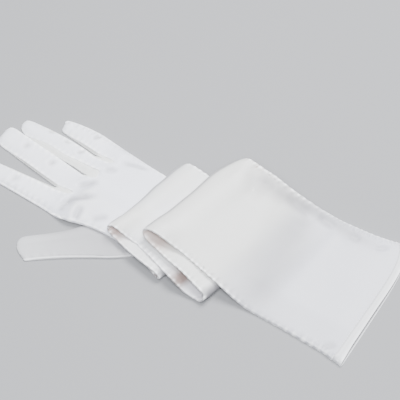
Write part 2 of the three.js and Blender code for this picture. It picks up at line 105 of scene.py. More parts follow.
# Each layer from the wrist outwards: the place along and across the slanted sleeve of both seams, the
# height of its underside, its thickness, and how far its edges drop or sag below that
sleeveSlant = 14.7
layerColumns = ("along", "near", "farAlong", "far", "under", "thick", "nearDrop", "nearSag", "farDrop")
layerRows = [
    [  # forearmBottom
        (-10, -79.7, -22, -3.0, 0, 3.5),
        (10, -77.0, 6, 5.0, 0, 3.5),
        (30, -77.3, 30, 10.8, 0, 3.5)],
    [  # firstReturn
        (30, -77.3, 30, 11.0, 7.25, 3.5, 1.5),
        (14, -79.3, 14, 11.0, 4.2, 3.5, 1.6),
        (-5, -81.2, -5, 10.8, 3.95, 3.5, 1.4),
        (-21, -81.6, -21, 10.5, 3.95, 3.5, 0.6)],
    [  # middleLayer
        (-21, -77.4, -21, 13.6, 12.4, 3.5, 0.4),
        (-8, -73.5, -8, 17.3, 10.0, 3.5, 2.2, 2.8),
        (2, -71.7, 2, 20.3, 8.8, 3.5, 2.4, 2.6),
        (31, -71.7, 31, 26.0, 11.45, 3.5, 1.6, 2.0),
        (40, -72.0, 40, 27.5, 10.4, 3.5, 0.6, 0.6),
        (58, -69.8, 58, 31.0, 2.2, 3.5),
        (69, -66.5, 69, 33.0, 0.25, 3.5)],
    [  # secondReturn
        (69, -61.0, 69, 34.0, 9.25, 3.5),
        (48, -62.2, 48, 38.0, 13.8, 3.5),
        (33, -64.0, 33, 41.0, 15.6, 3.5, 0.5),
        (20, -65.0, 20, 43.5, 14.4, 3.5, 0.8),
        (11.3, -65.5, 11.3, 45.5, 13.45, 3.5, 0.8)],
    [  # topLayer
        (11.3, -58.7, 11.3, 50.2, 23.4, 3.5, 0.4),
        (34, -52.4, 34, 55.9, 19.8, 3.5, 0.8, 0, 0.9),
        (60, -49.0, 60, 62.0, 15.2, 3.5, 0.6, 0, 2.9),
        (76, -46.6, 76, 67.2, 10.9, 3.5, 0, 0, 3.6),
        (89, -44.2, 87, 71.9, 5.6, 4.0, 0, 0, 2.4),
        (103, -40.9, 97, 76.0, 1.4, 4.5, 0, 0, 0.6),
        (118, -36.1, 107, 80.0, 0, 4.7),
        (136, -30.8, 118, 84.2, 0, 4.9),
        (155, -25.6, 129, 89.0, 0, 5.0),
        (173, -20.8, 139.3, 94.3, 0, 5.2),
        (191.2, -17.9, 149.5, 100.6, 0, 5.4)],
]
layerTable = [[dict(zip(layerColumns, row)) for row in layer] for layer in layerRows]
mouthAlong = layerTable[-1][-1]["along"]

# Each turn of the sleeve: which way it points, how far it reaches, how much painted shade its inside and
# its outer side get, and how much further its crest stands out at places from the near seam (0) to the far
# seam (1)
evenBend = [(0.0, 0.0), (0.8, 0.0), (0.93, -0.3), (1.0, -1.5)]
foldTable = [
    dict(name="firstFold", side=1, reach=4.0, farIn=1.0, nearAcross=0.0, outerDark=0.8,
         dark=1.2, darkAt=2.0, darkReach=12.0, bend=evenBend),
    dict(name="wristFold", side=-1, reach=8.0, farIn=0.6, nearAcross=1.0, outerDark=0.0,
         dark=0.9, darkAt=0.0, darkReach=9.0,
         bend=[(0.0, -0.9), (0.12, -1.3), (0.19, -2.0), (0.27, -1.5), (0.35, -0.4), (0.43, 0.3), (0.5, 0.9),
               (0.58, 1.8), (0.72, 1.9), (0.8, 2.5), (0.9, 2.6), (0.96, 1.9), (1.0, -0.8)]),
    dict(name="secondFold", side=1, reach=5.0, farIn=1.0, nearAcross=0.0, outerDark=1.0,
         dark=1.5, darkAt=21.5, darkReach=8.5, bend=evenBend),
    dict(name="upperFold", side=-1, reach=9.0, farIn=0.9, nearAcross=1.6, outerDark=0.0,
         dark=0.75, darkAt=3.0, darkReach=10.0,
         bend=[(0.0, 3.4), (0.1, 2.9), (0.18, 3.2), (0.3, 3.2), (0.4, 3.4), (0.5, 3.5), (0.6, 4.3),
               (0.7, 5.1), (0.76, 4.8), (0.82, 3.7), (0.88, 2.3), (0.94, 0.2), (1.0, -3.4)]),
]
hem = {"width": 8.6, "bow": 11.0, "bowStart": 103.0, "lyingStart": 76.0, "wall": 0.95, "rows": 9,
       "setBack": 0.9, "lip": 0.9, "ripple": 0.25, "groove": 0.32, "roll": 0.25, "edgeThin": 0.55,
       "edgeDrop": 0.2, "topLeast": 0.75, "lowWall": 0.7, "lowLift": 0.15, "sideIn": 0.45}
# How much painted shade goes inside the turns, along the crests, on the turns' outer sides, and on the lying
# top layer and its edges
foldShade = {"line": 0.85, "lineAfter": 2.3, "lineWidth": 1.35, "outerWidth": 8.0, "inTurn": 0.3,
             "lyingSleeveShade": 0.36, "lyingStart": 0.12, "farEdgeShade": 0.36, "nearEdgeShade": 0.46}
descent = {"lift": 2.2, "liftAt": 99.0, "liftWidth": 12.0, "sink": 0.9, "sinkAt": 73.0, "sinkWidth": 10.0}
thumbLift = {"height": 4.1, "start": -108, "full": -84, "fade": -6, "end": 16, "acrossFull": -53,
             "acrossEnd": -32}


def mix(a, b, t):
    return a + (b - a) * t


def ease(x, start, end):
    t = np.clip((np.asarray(x, float) - start) / (end - start), 0, 1)
    return t * t * (3 - 2 * t)


def bell(x, width):
    return np.exp(-(x / width) ** 2)


# A quarter round, from 0 at the edge to 1 at its reach
def rounded(distance, reach, power=2):
    return np.sqrt(1 - (1 - np.clip(distance / reach, 0, 1)) ** power)


def stepLengths(points):
    return np.linalg.norm(np.diff(points, axis=0), axis=1)


def runningSum(steps):
    return np.concatenate([[0], np.cumsum(steps)])


# Points across the cloth, from its near edge to its far one
def between(near, far, shares):
    return mix(near[:, None, :], far[:, None, :], shares[..., None])


def hermite(a, b, slopeA, slopeB, span, t):
    return (a * (2 * t**3 - 3 * t**2 + 1) + slopeA * span * (t**3 - 2 * t**2 + t)
            + b * (3 * t**2 - 2 * t**3) + slopeB * span * (t**3 - t**2))


# A point from its place along and across the slanted sleeve
def foldPoint(along, across, height):
    c, s = math.cos(math.radians(sleeveSlant)), math.sin(math.radians(sleeveSlant))
    along, across = np.asarray(along, float), np.asarray(across, float)
    return np.stack([along * c + across * s, across * c - along * s, np.zeros_like(along) + height], -1)


# Values through a table's rows without overshoot; heights start and end level
def readColumn(rows, key, along):
    x = np.array([row["along"] for row in rows], float)
    y = np.array([row.get(key, 0) for row in rows], float)
    if x[1] < x[0]:
        x, y = x[::-1], y[::-1]
    rise = np.diff(y) / np.diff(x)
    slope = np.zeros_like(y)
    same = rise[1:] * rise[:-1] > 0
    total = np.where(same, rise[1:] + rise[:-1], 1.0)
    slope[1:-1] = np.where(same, 2 * rise[1:] * rise[:-1] / total, 0.0)
    if key != "under":
        slope[0], slope[-1] = rise[0], rise[-1]
    i = np.clip(np.searchsorted(x, along) - 1, 0, len(x) - 2)
    span = x[i + 1] - x[i]
    return hermite(y[i], y[i + 1], slope[i], slope[i + 1], span, (along - x[i]) / span)


# A smooth line through points, read at places between them
def curveThrough(points, knots, at):
    points, knots = np.asarray(points, float), np.asarray(knots, float)
    chord = np.diff(points, axis=0) / np.diff(knots)[:, None]
    slope = np.vstack([chord[:1], (chord[1:] + chord[:-1]) / 2, chord[-1:]])
    i = np.clip(np.searchsorted(knots, at) - 1, 0, len(knots) - 2)
    span = (knots[i + 1] - knots[i])[:, None]
    return hermite(points[i], points[i + 1], slope[i], slope[i + 1], span, (at - knots[i])[:, None] / span)


# How far the thumb below lifts the hand
def liftAt(x, y):
    k = thumbLift
    alongShare = ease(x, k["start"], k["full"]) * (1 - ease(x, k["fade"], k["end"]))
    return k["height"] * alongShare * (1 - ease(y, k["acrossFull"], k["acrossEnd"]))


# Irregular gathers along a seam, from -1 to 1, from the distance along it
def gathers(s, phase=0.0):
    turn = 2 * math.pi * s / puckers["pitch"]
    wander = 1.7 * np.sin(s / 11.3 + phase) + 1.1 * np.sin(s / 5.3 + 2.1 * phase)
    strength = 0.62 + 0.38 * np.sin(s / 17.0 + 3.3 * phase)
    return np.sin(turn + wander + phase) * strength


# Height of a sewn edge's relief over a distance in from the seam
def seamRelief(distance, s, phase=0.0):
    g = gathers(s, phase)
    ridge = puckers["ridge"] * bell(distance - 0.5, 0.45)
    groove = -puckers["groove"] * bell(distance - 1.5, 0.5) * (0.75 + 0.25 * g)
    pull = puckers["height"] * g * bell(distance - 2.6, puckers["reach"]) * (1 - bell(distance, 0.7))
    return ridge + groove + pull


# A seam effect summed over the near and the far seam
def bothSeams(effect, share, width, s):
    return (effect(share * width, s, puckers["nearPhase"])
            + effect((1 - share) * width, s, puckers["farPhase"]))


# The ribs round a turn, from the last rib before it to the first one after
def turnRibs(number, before, after):
    fold = foldTable[number]
    nearA, farA, thickA, lieA, sagA = (values[-1] for values in before[:5])
    nearB, farB, thickB, _, sagB = (values[0] for values in after)
    radius = (abs(nearB[2] - nearA[2]) / 2 + fold["reach"]) / 2
    count = math.ceil(math.pi * radius / cloth["step"])
    angle = math.pi * (np.arange(1, count) / count - 0.5)
    share, outward = (1 + np.sin(angle)) / 2, np.cos(angle)
    push = foldPoint(fold["side"] * fold["reach"] * outward, np.zeros(count - 1), 0)
    aside = foldPoint(np.zeros(count - 1), outward, 0)
    return (mix(nearA, nearB, share[:, None]) + push - fold["nearAcross"] * aside,
            mix(farA, farB, share[:, None]) + push - fold["farIn"] * aside,
            mix(thickA, thickB, share), lieA * (1 - share), mix(sagA, sagB, share),
            np.full(count - 1, cloth["hidden"]), outward[:, None] * (np.arange(len(foldTable)) == number))


# Ribs of the folded sleeve: both seam points, thickness, how flat the underside lies, the near edge's
# sag, the place along the top layer and the share of each turn
def sleeveRibs():
    parts = []
    last = len(layerTable) - 1
    for number, rows in enumerate(layerTable):
        begin, end = rows[0]["along"], rows[-1]["along"]
        if number == last:
            end = end - hem["width"]
        along = np.linspace(begin, end, math.ceil(abs(end - begin) / cloth["step"]) + 1)
        own = ribArrays(rows, along, number)
        if number > 0:
            parts.append(turnRibs(number - 1, parts[-1], own))
        place = along if number == last else np.full(len(along), cloth["hidden"])
        parts.append((*own, place, np.zeros((len(along), len(foldTable)))))
    return [np.concatenate(column) for column in zip(*parts)]


# How much further than its reach a fold's crest stands out, over the width from near to far
def crestBend(fold, share):
    places, out = np.array(fold["bend"]).T
    return curveThrough(out[:, None], places, share.ravel())[:, 0].reshape(share.shape)


# A layer's ribs at places along it, in the order of sleeveRibs
def ribArrays(rows, along, number):
    keys = ("near", "farAlong", "far", "under", "thick", "nearDrop", "farDrop", "nearSag")
    read = {key: readColumn(rows, key, along) for key in keys}
    lying = np.ones_like(along) if number == 0 else np.zeros_like(along)
    if number == len(layerTable) - 1:
        lying = ease(along, hem["lyingStart"], hem["bowStart"])
    middle = read["under"] + read["thick"] / 2
    return (foldPoint(along, read["near"], middle - read["nearDrop"]),
            foldPoint(read["farAlong"], read["far"], middle - read["farDrop"]),
            read["thick"], lying, read["nearSag"])


def smoothed(values, passes):
    for _ in range(passes):
        inner = values[:-2] * 0.25 + values[1:-1] * 0.5 + values[2:] * 0.25
        values = np.concatenate([values[:1], inner, values[-1:]])
    return values


# The two edges of a finger from the fourchette's end (or the crotch) to the tip
def fingerEdges(k, rows, withTongue):
    finger = fingerTable[k]
    lines, crotchAt, lengths = [], [], []
    for edge, gapIndex in (("near", k - 1), ("far", k)):
        base, tip = np.array(finger[edge + "Base"]), np.array(finger[edge + "Tip"])
        start = base
        if withTongue:
            start = np.array(tongueEnds[gapIndex] if 0 <= gapIndex < len(tongueEnds) else sideStarts[edge])
        first, second = np.linalg.norm(base - start), np.linalg.norm(tip - base)
        at = rows * (first + second)
        line = np.where((at < first)[:, None], mix(start, base, (at / max(first, 1e-6))[:, None]),
                        mix(base, tip, ((at - first) / second)[:, None]))
        share = np.clip((at - first) / second, 0, 1)
        if edge == "far":
            line[:, 1] += finger["bulge"] * 4 * share * (1 - share)
        else:
            line[:, 1] -= finger.get("nearBulge", 0) * ease(share, 0.12, 0.5) * (1 - ease(share, 0.86, 1.0))
        lines.append(line)
        crotchAt.append(first)
        lengths.append(first + second)
    near, far = lines
    tipPart = np.clip(1 - (1 - rows) * np.mean(lengths) / finger["tipLength"], 0, 1)
    power = fingerForm["tipPower"]
    width = mix(finger["tipShare"], 1.0, (1 - tipPart**power) ** (1 / power))[:, None]
    centre = (near + far) / 2
    return centre + (near - centre) * width, centre + (far - centre) * width, crotchAt, lengths, tipPart


# How far the back panel's edge stands in from the glove's outline beside a finger
def showAlong(show, rows, length, tongue):
    if show == 0:
        return np.zeros_like(rows)
    at = rows * length
    form = fingerForm
    opening = rounded(at, form["tongueRound"])
    wide = mix(form["baseShow"], 1.0, ease(at, tongue * 0.6, tongue + 26))
    return show * opening * wide * (1 - ease(rows, form["taperStart"] + 0.1, form["taperEnd"]))


# Height of a finger's edge where a fourchette is sewn to it
def sewnEdge(rows):
    form = fingerForm
    sewn = mix(form["edgeTop"], form["seamTop"], ease(rows, form["taperStart"], form["taperEnd"]))
    return mix(form["baseTop"], sewn, ease(rows, 0, 0.2))


# Shares of a width that stand closer at both ends
def warpedShares(count, thin):
    x = np.linspace(0, 1, count)
    return x - thin * np.sin(2 * math.pi * x) / (2 * math.pi)


def crease(name, width, depth, tone, points, dimple=False):
    return dict(name=name, width=width, depth=depth, tone=tone, points=points, dimple=dimple)


# Soft creases and dimples on the back of the hand: half width, depth, painted shade and plan points
creaseTable = [
    crease("thumbPull", 2.8, 2.9, 0.74,
           [(-91.3, -78.1), (-92.8, -73.3), (-93.4, -67.2), (-91.1, -62.1), (-86.0, -57.9), (-80.7, -53.2),
            (-74.5, -46.2)]),
    crease("thumbPullShade", 3.0, 0.0, 0.62,
           [(-92.2, -78.4), (-94.4, -71.9), (-94.9, -66.5)]),
    crease("thumbPullShort", 2.5, 2.5, 0.6,
           [(-77.6, -79.0), (-78.4, -72.9), (-79.2, -68.5), (-80.5, -63.1)]),
    crease("middleKnuckle", 2.4, 2.4, 0.6,
           [(-96.0, -50.4), (-91.1, -44.8), (-86.9, -40.1), (-81.7, -33.4)]),
    crease("ringKnuckle", 2.2, 1.7, 0.42, [(-86.0, -24.2), (-81.2, -20.7), (-75.0, -16.1)]),
    crease("outerHand", 1.7, 1.3, 0.5, [(-78.5, -9.4), (-72.4, -7.4), (-64.2, -4.4), (-51.5, -0.8)]),
    crease("heel", 2.8, 1.0, 0.5, [(-66.5, -71.4), (-61.2, -65.5), (-54.0, -59.0)]),
    crease("middleDimpleTip", 2.6, 1.2, 0.7, [(-156.8, -40.6), (-156.4, -39.3)], dimple=True),
    crease("middleDimple", 2.3, 1.3, 0.8, [(-127.8, -42.8), (-127.0, -41.5)], dimple=True),
    crease("indexDimple", 2.8, 1.0, 0.5, [(-146.2, -72.6), (-145.2, -71.1)], dimple=True),
    crease("littleDimple", 1.8, 1.2, 0.85, [(-110.1, -0.6), (-108.3, 2.4)], dimple=True),
    crease("ringDimpleA", 1.8, 1.0, 0.8, [(-146.9, -16.1), (-145.6, -15.7)], dimple=True),
    crease("ringDimpleB", 1.8, 1.0, 0.8, [(-129.2, -17.4), (-127.3, -16.9)], dimple=True),
    crease("ringDimpleC", 1.8, 1.0, 0.9, [(-113.2, -20.5), (-111.4, -17.5)], dimple=True),
]

# Pulls, a break and bands of painted shade on the upper sleeve, in plan, where it lies on top
sleeveCreases = [
    crease("pullStart", 4.2, 1.2, 0.5, [(36.9, 34.2), (45.5, 35.3), (53.0, 36.3)]),
    crease("pullA", 4.4, 2.0, 0.62, [(64.2, 36.1), (70.5, 35.6), (78.8, 35.3), (87.4, 35.8), (94.1, 36.2)]),
    crease("pullC", 3.8, 1.5, 0.55, [(95.1, 38.9), (101.8, 39.3), (108.8, 39.3), (114.6, 39.6)]),
    crease("pullD", 3.0, 1.1, 0.38, [(125.2, 40.5), (131.5, 40.0), (137.2, 40.3)]),
    crease("hemPull", 1.8, 1.1, 0.3, [(150, 40.0), (156.5, 44.0), (161, 49.5)]),
    crease("hemPullNear", 2.6, 0.9, 0.4, [(159, -61), (164, -58), (168.5, -52)]),
    crease("shoulder", 8.5, 2.2, 0.2, [(24, 50), (31, 42), (36, 30), (47, 14)]),
    crease("breakLine", 12.0, -0.9, 0, [(49, 36), (56, 8), (61, -20), (64, -52)]),
    crease("farShadeBand", 6.5, 0.0, 0.6,
           [(14.1, 34.8), (25.2, 33.5), (48.9, 34.8), (80.3, 38.3), (109.3, 42.3), (128.4, 41.8),
            (154.1, 43.2), (169.1, 44.1)]),
    crease("slopeShade", 14.5, 0.0, 0.58,
           [(91.0, 46.0), (89.0, 32.0), (88.6, 18.0), (88.0, 4.0), (88.4, -10.0), (87.2, -24.0),
            (87.6, -40.0), (90.0, -54.0), (95.0, -74.0)]),
]


# Depth of the creases at a place, and how much painted shade they lay on the cloth
def creaseDepth(table, x, y):
    total, tone = np.zeros_like(x), np.zeros_like(x)
    for row in table:
        points = np.array(row["points"], float)
        lengths = runningSum(stepLengths(points))
        nearest, place = np.full(x.shape, 1e9), np.zeros(x.shape)
        for a, b, start in zip(points[:-1], points[1:], lengths[:-1]):
            way = b - a
            t = np.clip(((x - a[0]) * way[0] + (y - a[1]) * way[1]) / (way @ way), 0, 1)
            distance = np.hypot(x - a[0] - t * way[0], y - a[1] - t * way[1])
            place = np.where(distance < nearest, (start + t * np.hypot(*way)) / lengths[-1], place)
            nearest = np.minimum(nearest, distance)
        w = row["width"]
        taper = 1.0 if row["dimple"] else np.clip(5 * place * (1 - place), 0, 1) ** 1.5
        total += row["depth"] * taper * (-bell(nearest, w) + 0.3 * bell(nearest - 2.0 * w, w))
        tone = np.maximum(tone, row["tone"] * taper * bell(nearest, w))
    return total, tone


# Slow unevenness of lying cloth, in millimetres
def drift(s, across, phase):
    return (0.16 * np.sin(s / 19.0 + across / 23.0 + phase)
            + 0.12 * np.sin(s / 31.0 - across / 14.0 + 1.3 * phase)
            + 0.07 * np.sin(s / 8.5 + across / 37.0 + 2.2 * phase))


# Long soft swells of the upper sleeve
def swell(along, across):
    return (0.55 * np.sin(along / 15.0 + across / 26.0 + 0.6)
            + 0.45 * np.sin(along / 27.0 - across / 17.0 + 2.0))


# Doubled cloth at a seam is a little whiter; the crowns of its gathers get a painted highlight
def seamTone(distance, s, phase):
    return bell(distance - 0.6, 1.6) * (0.12 + 0.88 * np.clip(2.0 * gathers(s, phase), 0, 1))


# One finger of a panel, its first row at the hand
def fingerGrid(k, side):
    form, finger = fingerForm, fingerTable[k]
    x = np.linspace(0, 1, form["rows"])
    rows = x + form["rowShift"] * np.sin(2 * math.pi * x)
    shares = warpedShares(form["columns"], form["sideThin"])[None, :]
    near, far, crotch, lengths, tip = fingerEdges(k, rows, side == "back")
    if side == "back":
        across = (far - near) / np.linalg.norm(far - near, axis=1)[:, None]
        near = near + across * showAlong(finger["nearShow"], rows, lengths[0], crotch[0])[:, None]
        far = far - across * showAlong(finger["farShow"], rows, lengths[1], crotch[1])[:, None]
    width = np.linalg.norm(far - near, axis=1)[:, None]
    s = (rows * np.mean(lengths))[:, None]
    plan = between(near, far, shares)
    seams = ((width * shares, 1.1 * k, finger["nearShow"]),
             (width * (1 - shares), 1.1 * k + 2, finger["farShow"]))
    if side == "palm":
        z = np.zeros(plan.shape[:2]) + form["curl"] * np.abs(2 * shares - 1) ** 8
        inward, creaseShade = cloth["wall"], np.zeros(z.shape)
    else:
        crest = mix(form["baseCrest"], finger["crest"], ease(rows, 0, 0.25))
        crest = mix(crest, form["tipCrest"], ease(rows, 0.4, 1.0))
        crest = mix(crest, form["seamTop"], 1 - np.sqrt(np.clip(1 - tip**2, 0, 1)))
        sewn = sewnEdge(rows)
        nearTop, farTop = (np.minimum(sewn if show else form["seamTop"], crest)[:, None]
                           for distance, phase, show in seams)
        fullness = 1 - np.abs(2 * shares - 1) ** form["crestPower"]
        z = mix(np.where(shares < 0.5, nearTop, farTop), crest[:, None], fullness)
        for distance, phase, show in seams:
            strength = (form["softRelief"] if show else form["fullRelief"]) * ease(rows, 0.02, 0.12)[:, None]
            z = z + seamRelief(distance, s, phase) * strength
        dents, creaseShade = creaseDepth(creaseTable, plan[..., 0], plan[..., 1])
        soft = ease((1 - rows) * np.mean(lengths), 0, 12)[:, None]
        z = z + dents + form["sag"] * np.sin(s / 6.5 + k) * fullness * soft
        inward = -cloth["wall"]
    # Seams whiter with painted highlights, the fingers painted whiter away from the hand, and painted shade
    # in the creases and dimples
    seam = sum(seamTone(distance, s, phase) for distance, phase, show in seams)
    return {"outer": np.dstack([plan, z]), "inner": np.dstack([plan, z + inward]),
            "uv": np.dstack([plan[..., 1], np.broadcast_to(-s, z.shape)]),
            "seamTone": seam + form["light"] * ease(s, 0, form["paintedLightFrom"]),
            "foldTone": np.zeros(z.shape), "pressTone": creaseShade}


# A panel's outer face, inner face, quads and cloth coordinates, its tones, and the body's own data
def panelGrids(side):
    fingers = [fingerGrid(k, side) for k in range(len(fingerTable))]
    body = handAndSleeve(side, np.concatenate([grid["outer"][0] for grid in fingers]))
    fingerIds = np.arange(sum(grid["foldTone"].size for grid in fingers))
    fingerIds = fingerIds.reshape(len(fingers), *fingers[0]["foldTone"].shape)
    r, c = body["foldTone"].shape
    bodyIds = fingerIds.size + np.arange((r - 1) * c).reshape(r - 1, c)
    quads = [quadsOf(ids)[:, [1, 0, 3, 2]] for ids in fingerIds]
    quads.append(quadsOf(np.vstack([fingerIds[:, 0].ravel(), bodyIds])))
    whole = {}
    for key in ("outer", "inner", "uv", "seamTone", "foldTone", "pressTone"):
        grids = [grid[key] for grid in fingers] + [body[key][1:]]
        whole[key] = np.concatenate([grid.reshape(-1, *grid.shape[2:]) for grid in grids])
    tones = {key: whole[key] for key in ("seamTone", "foldTone", "pressTone")}
    return (whole["outer"], whole["inner"], np.concatenate(quads), whole["uv"]), tones, body


# Ribs from the knuckle row over the hand to the hem, in the order of sleeveRibs
def gloveRibs(knuckle):
    edges = []
    for corner, edge, alongKey in ((knuckle[0], "near", "along"), (knuckle[-1], "far", "farAlong")):
        sleeve = [foldPoint(row[alongKey], row[edge], 0)[:2] for row in layerTable[0][:2]]
        edges.append(np.array([corner[:2]] + [row[edge] for row in handTable] + sleeve, float))
    knots = runningSum((stepLengths(edges[0]) + stepLengths(edges[1])) / 2)
    at = np.linspace(0, knots[-2], math.ceil(knots[-2] / cloth["step"]) + 1)[:-1]
    thickness = [handForm["knuckleThick"]] + [row["thick"] for row in handTable] + [cloth["layer"]] * 2
    thick = np.interp(at, knots, thickness)
    near, far = (np.column_stack([curveThrough(points, knots, at), thick / 2]) for points in edges)
    hand = (near, far, thick, np.ones(len(at)), np.zeros(len(at)), np.full(len(at), cloth["hidden"]),
            np.zeros((len(at), len(foldTable))))
    near, far, thick, lie, sag, along, turn = (np.concatenate(pair) for pair in zip(hand, sleeveRibs()))
    return smoothed(near, 3), smoothed(far, 3), thick, lie, smoothed(sag, 3), along, smoothed(turn, 2)


# The mouth's end bows outwards over its width
def mouthBow(along, share):
    return hem["bow"] * ease(along, hem["bowStart"], mouthAlong)[:, None] * share * (1 - share**7)


# Half the height of the flattened sleeve over its width
def halfHeight(thick, fullness):
    return mix(cloth["seamHeight"] / 2, (thick - (cloth["layer"] - cloth["loose"]))[:, None] / 2, fullness)


# Points midway between back and palm, and their shares of the width
def middleSurface(ribs, knuckle, s):
    near, far, _, _, sag, along, turn = ribs
    first, last = knuckle[0], knuckle[-1]
    knuckleShare = (knuckle[:, 1] - first[1]) / (last[1] - first[1])
    sleeveShare = warpedShares(len(knuckle), cloth["sideThin"])
    share = mix(knuckleShare[None, :], sleeveShare[None, :], ease(s, 0, handForm["settle"]))
    middle = between(near, far, share)
    # The knuckle row isn't straight: its bend fades out over the hand
    bend = knuckle[:, 0] - mix(first[0], last[0], knuckleShare)
    middle[..., 0] += (1 - ease(s, 0, handForm["bendFade"])) * bend[None, :]
    middle[..., 0] += mouthBow(along, share)
    for fold, outward in zip(foldTable, turn.T):
        middle += (crestBend(fold, share) * outward[:, None])[..., None] * foldPoint(fold["side"], 0, 0)
    slopeRise = descent["lift"] * bell(along - descent["liftAt"], descent["liftWidth"])
    slopeRise = slopeRise - descent["sink"] * bell(along - descent["sinkAt"], descent["sinkWidth"])
    middle[..., 2] += slopeRise[:, None] * (1 - (2 * share - 1) ** 4) - sag[:, None] * (1 - share) ** 8
    return middle, share


# Painted shade inside each turn, standing for light that reaches it only after several bounces off the
# satin; a painted dark line along the crest and painted shadow on the outer side below it
def turnTones(side, s, turn):
    insideSide = 1 if side == "back" else -1
    shade, shadePaint = np.zeros_like(s), np.zeros_like(s)
    for fold, outward in zip(foldTable, turn.T):
        if fold["side"] == insideSide:
            rows = np.flatnonzero(outward > 0.02)
            fromTurn = np.maximum(s[rows[0]] - s, s - s[rows[-1]]).clip(0)
            dark = fold["dark"] * bell(fromTurn - fold["darkAt"], fold["darkReach"])
            inTurn = fold["dark"] * foldShade["inTurn"] * (fromTurn < fold["darkAt"])
            shade = np.maximum(shade, np.maximum(dark, inTurn))
        else:
            beyond = s - s[np.argmax(outward)] - foldShade["lineAfter"]
            line = foldShade["line"] * bell(beyond, foldShade["lineWidth"])
            under = fold["outerDark"] * bell(beyond + 1.0, foldShade["outerWidth"])
            shadePaint = np.maximum(shadePaint, np.maximum(line, under * (1 - ease(beyond, 0.5, 7.5))))
    return shade[:, None], shadePaint[:, None]


# Painted shade on the top layer where it lies, and along its edges
def lyingShade(along, share):
    k = foldShade
    lying = mix(k["lyingStart"] * ease(along, 14, 30), k["lyingSleeveShade"], ease(along, 61, 77))
    lying = np.maximum(lying, k["farEdgeShade"] * ease(share, 0.72, 0.9) * ease(along, 14, 34))
    return np.maximum(lying, k["nearEdgeShade"] * (1 - ease(share, 0.15, 0.5)) * ease(along, 61, 90))


# The hand and the folded sleeve, from the knuckle row to the hem
def handAndSleeve(side, knuckle):
    ribs = gloveRibs(knuckle)
    near, far, thick, lie, _, along, turn = ribs
    run = runningSum(stepLengths((near + far) / 2))
    width = np.linalg.norm(far - near, axis=1)[:, None]
    s, lie, place = run[:, None], lie[:, None], along[:, None]
    middle, share = middleSurface(ribs, knuckle, s)
    acrossWay = ((far - near) / width)[:, None, :]
    normal = np.cross(np.gradient(middle, axis=0), np.broadcast_to(acrossWay, middle.shape))
    normal /= np.linalg.norm(normal, axis=2)[..., None]
    normal = mix(normal, np.array([0, 0, 1.0]), ease(lie, 0.9, 1.0)[..., None])
    distance = np.minimum(share * width, (1 - share) * width)
    crown = mix(cloth["crown"], cloth["cuffCrown"], ease(place, 95, 125))
    half = halfHeight(thick, rounded(distance, crown, cloth["crownPower"]))
    sink = -lie * (thick[:, None] / 2 - half)
    relief = bothSeams(seamRelief, share, width, s) * ease(s, 0, 8)
    slow = drift(s, share * 100, 0.7 if side == "back" else 2.4) * ease(distance, 2, 14)
    topShare = ease(place, 15, 45) * (1 - ease(place, 165, 182))
    slow = slow + topShare * swell(place, share * 110) * ease(distance, 2, 22)
    shade, shadePaint = turnTones(side, run, turn)
    if side == "back":
        onTop = place > cloth["hidden"]
        topDepth, topCreaseShade = creaseDepth(sleeveCreases, middle[..., 0], middle[..., 1])
        handDepth, handCreaseShade = creaseDepth(creaseTable, middle[..., 0], middle[..., 1])
        handPart = 1 - ease(s, 56, 70)
        off, inward = sink + half + relief + slow + topDepth * onTop + handDepth * handPart, -cloth["wall"]
        # Painted shade in the hand's and the upper sleeve's creases, and where the top layer lies
        lying = lyingShade(place, share)
        shadePaint = np.maximum(np.maximum(shadePaint, handCreaseShade * handPart), lying + (1 - lying) * topCreaseShade * onTop)
    else:
        off, inward = sink - half - (relief + slow) * (1 - lie), cloth["wall"]
    outer = middle + normal * off[..., None]
    inner = middle + normal * (off + inward)[..., None]
    raised = liftAt(middle[..., 0], middle[..., 1])
    if side == "back":    # it meets the fingers' own height at the knuckle row
        raised = raised + (1 - ease(s, 0, 9)) * (knuckle[None, :, 2] - outer[..., 2] - raised)
    gatherOut = puckers["outline"] * gathers(s * 0.9, 5.0) * bell(distance, 2.0) * ease(s, 0, 8)
    aside = acrossWay * (np.where(share < 0.5, -1.0, 1.0) * gatherOut)[..., None]
    for face in (outer, inner):
        face[..., 2] += raised
        face += aside
    return {"outer": outer, "inner": inner, "uv": np.dstack([share * width, np.broadcast_to(s, share.shape)]),
            "seamTone": bothSeams(seamTone, share, width, s), "foldTone": np.broadcast_to(shade, share.shape),
            "pressTone": np.broadcast_to(shadePaint, share.shape), "length": float(run[-1]),
            "area": float((np.diff(run) * (width[1:, 0] + width[:-1, 0]) / 2).sum())}


# A closed cloth wall from an outer face, an inner face and shared quads
def makeWall(name, outer, inner, quads, uv, flip=False, tones=None):
    if flip:
        quads = quads[:, ::-1]
    count = len(outer)
    edges = np.concatenate([quads[:, [i, (i + 1) % 4]] for i in range(4)])
    keys = edges[:, 0] * count + edges[:, 1]
    back = edges[:, 1] * count + edges[:, 0]
    free = edges[~np.isin(back, keys)]
    rim = np.stack([free[:, 1], free[:, 0], free[:, 0] + count, free[:, 1] + count], -1)
    faces = np.concatenate([quads, quads[:, ::-1] + count, rim])
    points = np.concatenate([outer, inner])
    doubled = {label: np.concatenate(values if isinstance(values, tuple) else (values, values))
               for label, values in (tones or {}).items()}
    return meshFrom(name, points, faces, np.concatenate([uv, uv]), doubled)


def addObject(name, data):
    piece = bpy.data.objects.new(name, data)
    bpy.context.collection.objects.link(piece)
    return piece


